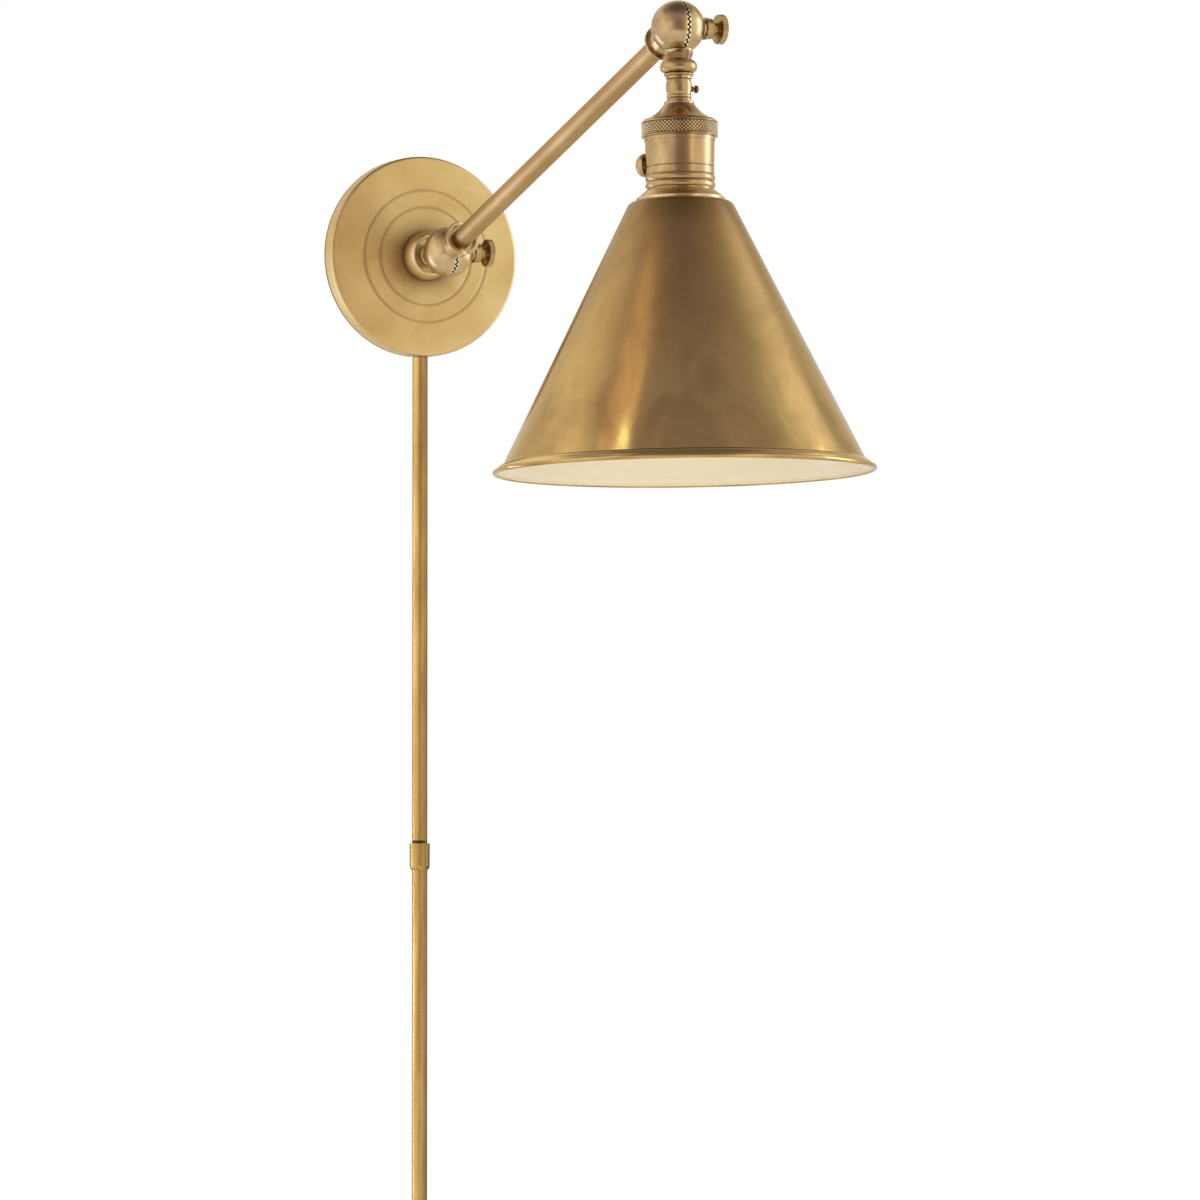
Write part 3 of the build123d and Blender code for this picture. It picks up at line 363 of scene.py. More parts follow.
shadeBrass = agedBrass("spunShadeBrass", shadeLook, upperBall, headWay, "turned")
coverBrass = agedBrass("drawnCoverBrass", coverLook, coverMiddle, Vector((0, 0, -1)), "drawn")
knurlBrass = agedBrass("knurledRingBrass", knurlLook, upperBall, headWay, "turned")
rootBrass = agedBrass("tarnishedShadedRootBrass", rootLook, upperBall, headWay, "turned")
screwBrass = agedBrass("darkScrewBrass", screwLook, upperBall, headWay, "turned")
contactBrass = agedBrass("plainContactBrass", contactLook, upperBall, headWay, "turned")


# Finishes of the other pieces: plating crystals, enamel ripple and warmth, mould relief in millimetres
steelLook = {"light": "#BCBFC1", "dark": "#A1A4A8", "crystal": 1.6, "roughness": (0.30, 0.48)}
enamelLook = {
    "light": "#FBEED2", "dark": "#F3E2C0", "ripple": 3.0, "warmth": 60, "peel": 0.15, "peelDepth": 0.05,
    "roughness": 0.30,
}
mouldLook = {"grainSpan": (0.3, 0.7), "dullBy": 0.12, "relief": 0.2, "reliefDepth": 0.03}


def platedSteel(look):
    # Zinc-plated steel: bluish grey, with the faint crystal blotches that plating leaves
    material, tree = newMaterial("zincPlatedSteel")
    coords = addNode(tree, "ShaderNodeTexCoord")
    grain = addNode(
        tree, "ShaderNodeTexVoronoi", Vector=coords.outputs["Object"], Scale=1 / (look["crystal"] * mm),
    )
    tint = addNode(
        tree, "ShaderNodeMix", {"data_type": "RGBA"}, i0=grain.outputs["Distance"],
        i6=srgb(look["light"]), i7=srgb(look["dark"]),
    )
    roughLow, roughHigh = look["roughness"]
    dull = addNode(
        tree, "ShaderNodeMapRange", Value=grain.outputs["Distance"],
        i1=0.0, i2=1.0, i3=roughLow, i4=roughHigh,
    )
    shader = addNode(tree, "ShaderNodeBsdfPrincipled", Metallic=1.0, Roughness=dull.outputs[0])
    tree.links.new(tint.outputs[2], shader.inputs["Base Color"])
    addNode(tree, "ShaderNodeOutputMaterial", Surface=shader.outputs[0])
    return material


def bakedEnamel(look):
    # Baked cream enamel: glossy coat over metal, with a soft orange-peel ripple
    material, tree = newMaterial("bakedCreamEnamel")
    coords = addNode(tree, "ShaderNodeTexCoord")
    ripple = addNode(
        tree, "ShaderNodeTexNoise", Vector=coords.outputs["Object"],
        Scale=1 / (look["ripple"] * mm), Detail=2.0,
    )
    warmth = addNode(
        tree, "ShaderNodeTexNoise", Vector=coords.outputs["Object"],
        Scale=1 / (look["warmth"] * mm), Detail=2.0,
    )
    tint = addNode(
        tree, "ShaderNodeMix", {"data_type": "RGBA"}, i0=warmth.outputs["Fac"],
        i6=srgb(look["light"]), i7=srgb(look["dark"]),
    )
    peel = addNode(
        tree, "ShaderNodeBump", Height=ripple.outputs["Fac"], Strength=look["peel"],
        Distance=look["peelDepth"] * mm,
    )
    shader = addNode(
        tree, "ShaderNodeBsdfPrincipled", Roughness=look["roughness"], Normal=peel.outputs[0],
    )
    tree.links.new(tint.outputs[2], shader.inputs["Base Color"])
    addNode(tree, "ShaderNodeOutputMaterial", Surface=shader.outputs[0])
    return material


def mouldedPlastic(name, look, lightHex, darkHex, rough, grainSize):
    # Moulded plastic or pressed fibre: flat body colour with a fine mould grain
    material, tree = newMaterial(name)
    coords = addNode(tree, "ShaderNodeTexCoord")
    grain = addNode(
        tree, "ShaderNodeTexNoise", Vector=coords.outputs["Object"], Scale=1 / (grainSize * mm), Detail=3.0,
    )
    tint = addNode(
        tree, "ShaderNodeMix", {"data_type": "RGBA"}, i0=grain.outputs["Fac"],
        i6=srgb(lightHex), i7=srgb(darkHex),
    )
    grainLow, grainHigh = look["grainSpan"]
    dull = addNode(
        tree, "ShaderNodeMapRange", Value=grain.outputs["Fac"],
        i1=grainLow, i2=grainHigh, i3=rough, i4=rough + look["dullBy"],
    )
    relief = addNode(
        tree, "ShaderNodeBump", Height=grain.outputs["Fac"], Strength=look["relief"],
        Distance=look["reliefDepth"] * mm,
    )
    shader = addNode(tree, "ShaderNodeBsdfPrincipled", Roughness=dull.outputs[0], Normal=relief.outputs[0])
    tree.links.new(tint.outputs[2], shader.inputs["Base Color"])
    addNode(tree, "ShaderNodeOutputMaterial", Surface=shader.outputs[0])
    return material


zincSteel = platedSteel(steelLook)
creamEnamel = bakedEnamel(enamelLook)
corePhenolic = mouldedPlastic("mouldedPhenolic", mouldLook, "#2B2320", "#1C1715", 0.25, 1.5)
fibreBoard = mouldedPlastic("pressedFibreBoard", mouldLook, "#6B5540", "#54422F", 0.75, 0.4)
blackNylon = mouldedPlastic("mouldedNylon", mouldLook, "#22211F", "#191817", 0.45, 0.8)
print("finishes made")

# Each CAD piece and the finish that it takes
pieceFinish = {
    "backplate": plateBrass, "mounting_strap": zincSteel, "strap_nut": zincSteel, "wall_nipple": zincSteel,
    "nipple_bushing": blackNylon, "hub": hubBrass, "wall_knuckle": lowerKnuckleBrass,
    "cord_cover_upper": coverBrass, "cord_cover_lower": coverBrass, "cord_cover_coupling": coverBrass,
    "arm_knuckle_lower": lowerKnuckleBrass, "arm_tube": armBrass, "arm_knuckle_upper": upperKnuckleBrass,
    "lower_spring_washer": lowerThumbBrass, "lower_cup_washer": lowerThumbBrass,
    "lower_thumbscrew": lowerThumbBrass, "head_knuckle": headKnuckleBrass,
    "upper_spring_washer": upperThumbBrass, "upper_cup_washer": upperThumbBrass,
    "upper_thumbscrew": upperThumbBrass, "stem_bead": socketBrass, "stem_nipple": zincSteel,
    "socket_cap": socketBrass, "cap_set_screw": screwBrass, "knurled_ring": socketBrass,
    "socket_body": socketBrass, "socket_liner": fibreBoard, "socket_core": corePhenolic,
    "terminal_screws": contactBrass, "screw_shell": contactBrass, "centre_contact": contactBrass,
    "switch_bush": socketBrass, "switch_shaft": zincSteel, "switch_knob": socketBrass,
    "shade_fitter": fitterBrass, "shade": shadeBrass, "shade_ring": socketBrass,
}
for nodeName, finish in pieceFinish.items():
    for holder in nodes[nodeName].material_slots:
        holder.material = finish


def bow(start, end, rise, steps):
    # points on a shallow arc that stands rise off its chord, to the right of its way
    start, end = Vector(start), Vector(end)
    chord = end - start
    off = Vector((chord.y, -chord.x)).normalized() * rise
    shares = [i / steps for i in range(steps + 1)]
    return [tuple(start + chord * t + off * 4 * t * (1 - t)) for t in shares]


def markCorners(build):
    # edges bent past the corner angle stay sharp
    for edge in build.edges:
        if len(edge.link_faces) == 2 and edge.calc_face_angle() > cornerAngle:
            edge.smooth = False


def turnPiece(name, profile, origin, way, steps, materials, bands=None, worked=None):
    # lathes a closed profile of (radius, distance) in millimetres about an axis;
    # worked gives the radius where a thread or notches are cut, from radius, distance and angle
    sideA = Vector((1, 0, 0)) if abs(way.x) < 0.5 else Vector((0, 0, 1))
    sideB = way.cross(sideA)
    mesh = bpy.data.meshes.new(name)
    build = bmesh.new()
    uvLayer = build.loops.layers.uv.new("turned")
    rings = []
    for i in range(steps):
        angle = 2 * math.pi * i / steps
        spoke = sideA * math.cos(angle) + sideB * math.sin(angle)
        ring = []
        for r, d in profile:
            if worked:
                r = worked(r, d, angle)
            ring.append(build.verts.new(origin + way * d * mm + spoke * r * mm))
        rings.append(ring)
    count = len(profile)
    for i in range(steps):
        for j in range(count):
            k = (j + 1) % count
            here, there = rings[i], rings[(i + 1) % steps]
            face = build.faces.new((here[j], here[k], there[k], there[j]))
            face.smooth = True
            face.material_index = bands[j] if bands else 0
            corners = ((i, j), (i, j + 1), (i + 1, j + 1), (i + 1, j))
            for loop, (u, v) in zip(face.loops, corners):
                loop[uvLayer].uv = (u / steps, v / count)
    bmesh.ops.remove_doubles(build, verts=build.verts, dist=weldDistance)
    bmesh.ops.recalc_face_normals(build, faces=build.faces)
    markCorners(build)
    build.to_mesh(mesh)
    build.free()
    for material in materials:
        mesh.materials.append(material)
    piece = bpy.data.objects.new(name, mesh)
    bpy.context.scene.collection.objects.link(piece)
    return piece


# Wall plate: spun pan with a low crown and two soft engraved rings, notched for the cord cover
plateSizes = {
    "radius": 58.0, "depth": 11.0, "crown": 2.0, "wall": 1.4, "round": 1.8, "land": 15.5, "hole": 5.05,
    "rings": (28.2, 38.2), "ringWidth": 3.2, "ringDepth": 0.22, "notch": 4.7, "notchPast": 2.0,
    "tuck": 16.0, "steps": 256,
}


def makePlate(s):
    rise = ((s["radius"] - s["land"]) ** 2 + s["crown"] ** 2) / (2 * s["crown"])
    face = s["depth"] + s["crown"]

    def level(r):
        # height of the crowned face, with the rings sunk into it
        sag = rise - math.sqrt(rise ** 2 - max(0.0, r - s["land"]) ** 2)
        dip = sum(
            s["ringDepth"] * (1 + math.cos(2 * math.pi * (r - ring) / s["ringWidth"])) / 2
            for ring in s["rings"] if abs(r - ring) < s["ringWidth"] / 2
        )
        return face - sag - dip

    edge = s["radius"] - s["round"]
    spots = {s["hole"], s["land"], edge} | {s["land"] + (edge - s["land"]) * i / 24 for i in range(1, 24)}
    for ring in s["rings"]:
        spots |= {ring + s["ringWidth"] * i / 16 for i in range(-8, 9)}
    front = [(r, level(r)) for r in sorted(spots)]
    bendMiddle = level(edge) - s["round"]
    corner = [
        (edge + s["round"] * math.sin(t), bendMiddle + s["round"] * math.cos(t))
        for t in (math.pi / 2 * i / 8 for i in range(1, 9))
    ]
    inside = s["radius"] - s["wall"]
    back = [(s["radius"], 0.0), (inside, 0.0), (inside, s["depth"] - s["wall"])]
    back += [(s["land"], face - s["wall"]), (s["hole"], face - s["wall"])]
    pan = turnPiece("spunPlate", front + corner + back, Vector(), wallWay, s["steps"], [plateBrass])
    # the notch is cut with a rounded block that stands in the rim
    cutMesh = bpy.data.meshes.new("notchBlock")
    cut = bmesh.new()
    middle = -coverMiddle.y / mm
    bend, past = s["notch"], s["notchPast"]
    turns = [math.pi * i / 24 for i in range(25)]
    outline = [(bend * math.cos(t), -middle - bend * math.sin(t)) for t in turns]
    outline += [(-bend, past), (bend, past)]
    floorLoop = [cut.verts.new((x * mm, y * mm, -(s["radius"] + s["tuck"]) * mm)) for x, y in outline]
    roofLoop = [cut.verts.new((x * mm, y * mm, -(s["radius"] - s["tuck"]) * mm)) for x, y in outline]
    cut.faces.new(floorLoop)
    cut.faces.new(roofLoop)
    for i in range(len(outline)):
        k = (i + 1) % len(outline)
        cut.faces.new((floorLoop[i], floorLoop[k], roofLoop[k], roofLoop[i]))
    bmesh.ops.recalc_face_normals(cut, faces=cut.faces)
    cut.to_mesh(cutMesh)
    cut.free()
    block = bpy.data.objects.new("notchBlock", cutMesh)
    bpy.context.scene.collection.objects.link(block)
    notch = pan.modifiers.new("coverNotch", "BOOLEAN")
    notch.operation = "DIFFERENCE"
    notch.solver = "EXACT"
    notch.object = block
    mesh = bpy.data.meshes.new_from_object(pan.evaluated_get(bpy.context.evaluated_depsgraph_get()))
    pan.modifiers.remove(notch)
    whole = pan.data
    pan.data = mesh
    bpy.data.meshes.remove(whole)
    bpy.data.objects.remove(block)
    bpy.data.meshes.remove(cutMesh)
    cornered = bmesh.new()
    cornered.from_mesh(mesh)
    markCorners(cornered)
    cornered.to_mesh(mesh)
    cornered.free()
    return pan


wallPlate = makePlate(plateSizes)
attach(wallPlate, "wall")
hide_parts("backplate")
print("plate turned and notched")

# Shade: spun cone, brass outside, enamel inside, with a creased flange and a rolled bead
shadeSizes = {
    "hole": 16.8, "top": 92.8, "flat": 24.2, "shoulder": 28.2, "shoulderBow": 0.45, "coneTop": 95.2,
    "cone": 95.8, "coneEnd": 231.4, "lip": 100.3, "lipLevel": 235.8, "flangeBow": 0.8,
    "bead": 1.3, "beadStart": 0.6, "beadOpen": 1.3, "wall": 0.9, "steps": 256,
}


def makeShade(s):
    shoulder = bow((s["flat"], s["top"]), (s["shoulder"], s["coneTop"]), s["shoulderBow"], 6)
    flare, fall = s["cone"] - s["shoulder"], s["coneEnd"] - s["coneTop"]
    cone = [(s["shoulder"] + flare * i / 10, s["coneTop"] + fall * i / 10) for i in range(1, 10)]
    flange = bow((s["cone"], s["coneEnd"]), (s["lip"], s["lipLevel"]), s["flangeBow"], 8)
    outer = [(s["hole"], s["top"])] + shoulder + cone + flange[:-1]
    inner = []
    for before, here, after in zip([outer[0]] + outer, outer, outer[1:] + [flange[-1]]):
        step = (Vector(after) - Vector(before)).normalized()
        inner.append((here[0] - step.y * s["wall"], here[1] + step.x * s["wall"]))
    inner[0] = (s["hole"], s["top"] + s["wall"])
    # the bead goes from the outer skin round the rim and under it to the inner skin
    lipWay = Vector(flange[-1]) - Vector(flange[-2])
    back = math.atan2(-lipWay.y, -lipWay.x)
    bead = []
    for i in range(17):
        turn = back + s["beadStart"] + (2 * math.pi - s["beadOpen"]) * i / 16
        bead.append((s["lip"] + s["bead"] * math.cos(turn), s["lipLevel"] + s["bead"] * math.sin(turn)))
    profile = outer + bead + inner[::-1]
    brassBands = len(outer) + len(bead) - 4
    bands = [0] * brassBands + [1] * (len(profile) - brassBands - 1) + [0]
    return turnPiece("spunShade", profile, upperBall, headWay, s["steps"], [shadeBrass, creamEnamel], bands)


shade = makeShade(shadeSizes)
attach(shade, "head")
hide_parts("shade")
print("shade turned")

# Knurled ring: a turned ring with a dark root band, and the small pyramids that a diamond knurl leaves on it
knurlSizes = {
    "radius": 20.4, "bore": 17.75, "top": 49.4, "bottom": 58.8, "bevel": 1.6, "foot": 0.3, "rim": 0.5,
    "inset": 0.1, "lipFrom": 0.4, "lipTo": 0.15, "groove": 0.3, "tip": 0.6, "crest": 0.16, "spread": 0.78,
    "around": 60, "rows": 6, "steps": 160,
}


def knurlTree():
    # pyramids in staggered rows round Z; lengths in metres
    tree = bpy.data.node_groups.new("diamondKnurl", "GeometryNodeTree")
    wanted = (
        ("Around", "NodeSocketInt"), ("Rows", "NodeSocketInt"), ("Root radius", "NodeSocketFloat"),
        ("First row", "NodeSocketFloat"), ("Row step", "NodeSocketFloat"), ("Tip height", "NodeSocketFloat"),
        ("Crest width", "NodeSocketFloat"), ("Root width", "NodeSocketFloat"),
        ("Finish", "NodeSocketMaterial"),
    )
    for label, kind in wanted:
        tree.interface.new_socket(label, in_out="INPUT", socket_type=kind)
    tree.interface.new_socket("Diamonds", in_out="OUTPUT", socket_type="NodeSocketGeometry")
    given = addNode(tree, "NodeGroupInput").outputs
    index = addNode(tree, "GeometryNodeInputIndex")
    whole = addNode(tree, "ShaderNodeMath", {"operation": "DIVIDE"}, i0=index.outputs[0], i1=given["Around"])
    row = addNode(tree, "ShaderNodeMath", {"operation": "FLOOR"}, i0=whole.outputs[0])
    stagger = addNode(
        tree, "ShaderNodeMath", {"operation": "MULTIPLY_ADD"}, i0=row.outputs[0], i1=0.5, i2=index.outputs[0],
    )
    turn = addNode(tree, "ShaderNodeMath", {"operation": "MULTIPLY"}, i0=stagger.outputs[0], i1=2 * math.pi)
    angle = addNode(tree, "ShaderNodeMath", {"operation": "DIVIDE"}, i0=turn.outputs[0], i1=given["Around"])
    eastward = addNode(tree, "ShaderNodeMath", {"operation": "COSINE"}, i0=angle.outputs[0])
    northward = addNode(tree, "ShaderNodeMath", {"operation": "SINE"}, i0=angle.outputs[0])
    outward = addNode(tree, "ShaderNodeCombineXYZ", i0=eastward.outputs[0], i1=northward.outputs[0])
    foot = addNode(
        tree, "ShaderNodeVectorMath", {"operation": "SCALE"},
        i0=outward.outputs[0], Scale=given["Root radius"],
    )
    level = addNode(
        tree, "ShaderNodeMath", {"operation": "MULTIPLY_ADD"},
        i0=row.outputs[0], i1=given["Row step"], i2=given["First row"],
    )
    lift = addNode(tree, "ShaderNodeCombineXYZ", i2=level.outputs[0])
    spot = addNode(tree, "ShaderNodeVectorMath", {"operation": "ADD"}, i0=foot.outputs[0], i1=lift.outputs[0])
    total = addNode(tree, "ShaderNodeMath", {"operation": "MULTIPLY"}, i0=given["Around"], i1=given["Rows"])
    points = addNode(tree, "GeometryNodePoints", i0=total.outputs[0], i1=spot.outputs[0])
    pyramid = addNode(
        tree, "GeometryNodeMeshCone", {"fill_type": "NGON"}, **{
            "Vertices": 4, "Side Segments": 1, "Fill Segments": 1, "Radius Top": given["Crest width"],
            "Radius Bottom": given["Root width"], "Depth": given["Tip height"],
        },
    )
    stand = addNode(
        tree, "FunctionNodeAxesToRotation", {"primary_axis": "Z", "secondary_axis": "X"},
        i0=outward.outputs[0], i1=(0, 0, 1),
    )
    placed = addNode(
        tree, "GeometryNodeInstanceOnPoints", Points=points.outputs[0], Instance=pyramid.outputs[0],
        Rotation=stand.outputs[0],
    )
    solid = addNode(tree, "GeometryNodeRealizeInstances", i0=placed.outputs[0])
    finished = addNode(tree, "GeometryNodeSetMaterial", Geometry=solid.outputs[0], Material=given["Finish"])
    addNode(tree, "NodeGroupOutput", i0=finished.outputs[0])
    return tree


def knurlLevels(s):
    # the knurled band's ends along the axis
    return s["top"] + s["bevel"] + s["groove"], s["bottom"] - s["foot"] - s["rim"]


def makeRing(s):
    radius, root = s["radius"], s["radius"] - s["tip"]
    bandTop, bandEnd = knurlLevels(s)
    profile = [
        (s["bore"], s["top"]), (radius - s["bevel"], s["top"]),
        (radius - s["inset"], bandTop - s["lipFrom"]), (radius - s["inset"], bandTop - s["lipTo"]),
        (root, bandTop), (root, bandEnd), (radius, bandEnd + s["groove"]),
        (radius, s["bottom"] - s["foot"]), (radius - s["foot"], s["bottom"]), (s["bore"], s["bottom"]),
    ]
    bands = [0, 0, 0, 0, 1, 0, 0, 0, 0, 0]
    return turnPiece("knurledRing", profile, upperBall, headWay, s["steps"], [socketBrass, rootBrass], bands)


def makeDiamonds(s):
    # knurled round Z at the origin, and then set on the head's axis
    root = s["radius"] - s["tip"]
    bandTop, bandEnd = knurlLevels(s)
    tree = knurlTree()
    rowStep = math.pi * root / s["around"]
    values = {
        "Around": s["around"], "Rows": s["rows"], "Root radius": root * mm, "Row step": rowStep * mm,
        "First row": (bandTop + bandEnd - rowStep * (s["rows"] - 1)) / 2 * mm,
        "Tip height": s["tip"] * mm, "Crest width": s["crest"] * mm, "Root width": rowStep * s["spread"] * mm,
        "Finish": knurlBrass,
    }
    diamonds = bpy.data.objects.new("knurlDiamonds", bpy.data.meshes.new("knurlDiamonds"))
    bpy.context.scene.collection.objects.link(diamonds)
    cutter = diamonds.modifiers.new("diamondKnurl", "NODES")
    cutter.node_group = tree
    for item in tree.interface.items_tree:
        if item.in_out == "INPUT" and item.name in values:
            cutter[item.identifier] = values[item.name]
    evaluated = diamonds.evaluated_get(bpy.context.evaluated_depsgraph_get())
    mesh = bpy.data.meshes.new_from_object(evaluated)
    diamonds.modifiers.remove(cutter)
    blank = diamonds.data
    diamonds.data = mesh
    bpy.data.meshes.remove(blank)
    turn = Vector((0, 0, 1)).rotation_difference(headWay).to_matrix().to_4x4()
    mesh.transform(Matrix.Translation(upperBall) @ turn)
    return diamonds


knurledRing = makeRing(knurlSizes)
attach(knurledRing, "head")
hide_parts("knurled_ring")
knurlDiamonds = makeDiamonds(knurlSizes)
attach(knurlDiamonds, "head")
print("ring knurled:", len(knurlDiamonds.data.polygons), "faces")

# Screw shell: thin brass cup with the rolled thread that takes the lamp
shellSizes = {
    "bore": 13.3, "wall": 0.5, "floor": 81.3, "length": 22.0, "hole": 6.0, "pitch": 3.63, "depth": 0.7,
    "plain": 2.0, "rim": 0.2, "rows": 56, "steps": 96,
}


def makeShell(s):
    end, outside = s["floor"] + s["length"], s["bore"] + s["wall"]
    depth = s["length"] - s["wall"]
    inside = [
        (s["bore"], s["floor"] + s["wall"] + depth * i / s["rows"]) for i in range(s["rows"] + 1)
    ]
    profile = [(s["hole"], s["floor"]), (outside, s["floor"])]
    profile += [(outside, d) for r, d in inside[1:]]
    profile += inside[::-1] + [(s["hole"], s["floor"] + s["wall"])]

    def thread(r, d, angle):
        if not s["floor"] + s["plain"] < d < end - s["rim"]:
            return r
        return r + s["depth"] * (math.sin(2 * math.pi * d / s["pitch"] - angle) - 1) / 2

    return turnPiece("threadedShell", profile, upperBall, headWay, s["steps"], [contactBrass], worked=thread)


screwShell = makeShell(shellSizes)
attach(screwShell, "head")
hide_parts("screw_shell")

# Set screw: small turned finger screw in the side of the socket cap; backs are measured from its end,
# and each turn of the head is how far in from its radius and how far back
screwSizes = {
    "level": 32.7, "root": 5.05, "shank": 1.5, "waist": 0.95, "head": 2.1, "end": 11.3, "steps": 40,
    "shankBack": 3.4, "waistBacks": (3.0, 2.3),
    "headTurns": ((0.2, 2.0), (0, 1.7), (0, 1.0), (0.3, 0.5), (1.0, 0.1)),
}


def makeSetScrew(s):
    end, shank = s["end"], s["shank"]
    profile = [(0, s["root"]), (shank, s["root"]), (shank, end - s["shankBack"])]
    profile += [(s["waist"], end - back) for back in s["waistBacks"]]
    profile += [(s["head"] - inset, end - back) for inset, back in s["headTurns"]] + [(0, end)]
    seat = upperBall + headWay * s["level"] * mm
    return turnPiece("setScrew", profile, seat, sideWay, s["steps"], [screwBrass])


setScrew = makeSetScrew(screwSizes)
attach(setScrew, "head")
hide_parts("cap_set_screw")

# Thumbscrews: shank, neck that flares a little into the disc, and a coin edge
thumbSizes = {
    "shank": 2.5, "shankEnd": -9.0, "seat": 19.6, "neck": 3.4, "flare": 22.3, "curve": 1.7, "disc": 23.0,
    "end": 26.2, "dome": 0.7, "radius": 7.95, "round": 0.5, "bevel": 0.2, "notches": 48, "notch": 0.35,
    "notchFrom": 0.1, "steps": 288,
}


def makeThumbscrew(name, s, centre, finish):
    rim, edge = s["radius"], s["round"]
    quarter = [math.pi / 2 * i / 10 for i in range(11)]
    shares = [i / 10 for i in range(11)]
    spread, rise = rim - edge - s["neck"], s["disc"] - s["flare"]
    flare = [(s["neck"] + spread * t ** s["curve"], s["flare"] + rise * t) for t in shares]
    corner = [(rim - edge + edge * math.sin(t), s["disc"] + edge - edge * math.cos(t)) for t in quarter[5:]]
    face = [(rim * i / 6, s["end"] + s["dome"] * (1 - (i / 6) ** 2)) for i in (5, 4, 3, 2, 1, 0)]
    profile = [(0, s["shankEnd"]), (s["shank"], s["shankEnd"])]
    profile += [(s["shank"], s["seat"]), (s["neck"], s["seat"])]
    profile += flare + corner + [(rim, s["end"] - s["bevel"]), (rim - s["bevel"], s["end"])] + face

    def notch(r, d, angle):
        if r < rim - s["notchFrom"]:
            return r
        return r - s["notch"] * (1 + math.cos(s["notches"] * angle)) / 2

    return turnPiece(name, profile, centre, sideWay, s["steps"], [finish], worked=notch)


for place, centre, finish in (("lower", lowerBall, lowerThumbBrass), ("upper", upperBall, upperThumbBrass)):
    thumbscrew = makeThumbscrew(place + "Thumbscrew", thumbSizes, centre, finish)
    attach(thumbscrew, place + "_thumbscrew")
    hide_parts(place + "_thumbscrew")
print("shell and screws turned")

# Camera of the photograph: a long lens, left of square on and a little low
viewSizes = {
    "place": (-1.426, -3.396, -0.2985), "look": (0.41345, 0.91013, 0.02705), "lens": 190.47, "sensor": 36.0,
    "farEnd": 100.0,
}
camera = bpy.data.objects.new("photoCamera", bpy.data.cameras.new("photoCamera"))
camera.data.lens = viewSizes["lens"]
camera.data.sensor_width = viewSizes["sensor"]
camera.data.clip_end = viewSizes["farEnd"]
camera.location = viewSizes["place"]
camera.rotation_euler = Vector(viewSizes["look"]).to_track_quat("-Z", "Y").to_euler()
bpy.context.scene.collection.objects.link(camera)
bpy.context.scene.camera = camera

# Floor: a pale disc well below the light
floorSizes = {
    "radius": 2.4, "middle": (0, -0.2, -0.68), "paper": "#E9E7E2", "steps": 96,
    "nearFade": 0.5, "farFade": 0.95, "nearShare": 0.1,
}
floorMesh = bpy.data.meshes.new("paleFloor")
floorBuild = bmesh.new()
bmesh.ops.create_circle(floorBuild, cap_ends=True, segments=floorSizes["steps"], radius=floorSizes["radius"])
bmesh.ops.translate(floorBuild, verts=floorBuild.verts, vec=floorSizes["middle"])
floorBuild.to_mesh(floorMesh)
floorBuild.free()
floor = bpy.data.objects.new("paleFloor", floorMesh)
bpy.context.scene.collection.objects.link(floor)


def floorFinish(s):
    # matt pale paper: keeps the shadow near the light and fades to plain white further out
    material, tree = newMaterial("mattPalePaper")
    coords = addNode(tree, "ShaderNodeTexCoord")
    fade = addNode(
        tree, "ShaderNodeVectorMath", {"operation": "DISTANCE"}, i0=coords.outputs["Object"], i1=s["middle"],
    )
    share = addNode(
        tree, "ShaderNodeMapRange", {"interpolation_type": "SMOOTHSTEP"}, Value=fade.outputs["Value"],
        i1=s["nearFade"], i2=s["radius"] * s["farFade"], i3=s["nearShare"], i4=1.0,
    )
    rays = addNode(tree, "ShaderNodeLightPath")
    seen = addNode(
        tree, "ShaderNodeMath", {"operation": "MAXIMUM"},
        i0=rays.outputs["Is Camera Ray"], i1=rays.outputs["Is Glossy Ray"],
    )
    seenAll = addNode(
        tree, "ShaderNodeMath", {"operation": "MAXIMUM"},
        i0=seen.outputs[0], i1=rays.outputs["Is Transmission Ray"],
    )
    white = addNode(
        tree, "ShaderNodeMath", {"operation": "MULTIPLY"}, i0=share.outputs[0], i1=seenAll.outputs[0],
    )
    paper = addNode(tree, "ShaderNodeBsdfDiffuse", Color=srgb(s["paper"]))
    glow = addNode(tree, "ShaderNodeEmission", Color=(1, 1, 1, 1), Strength=1.0)
    mixed = addNode(tree, "ShaderNodeMixShader", i0=white.outputs[0], i1=paper.outputs[0], i2=glow.outputs[0])
    addNode(tree, "ShaderNodeOutputMaterial", Surface=mixed.outputs[0])
    return material


floorMesh.materials.append(floorFinish(floorSizes))

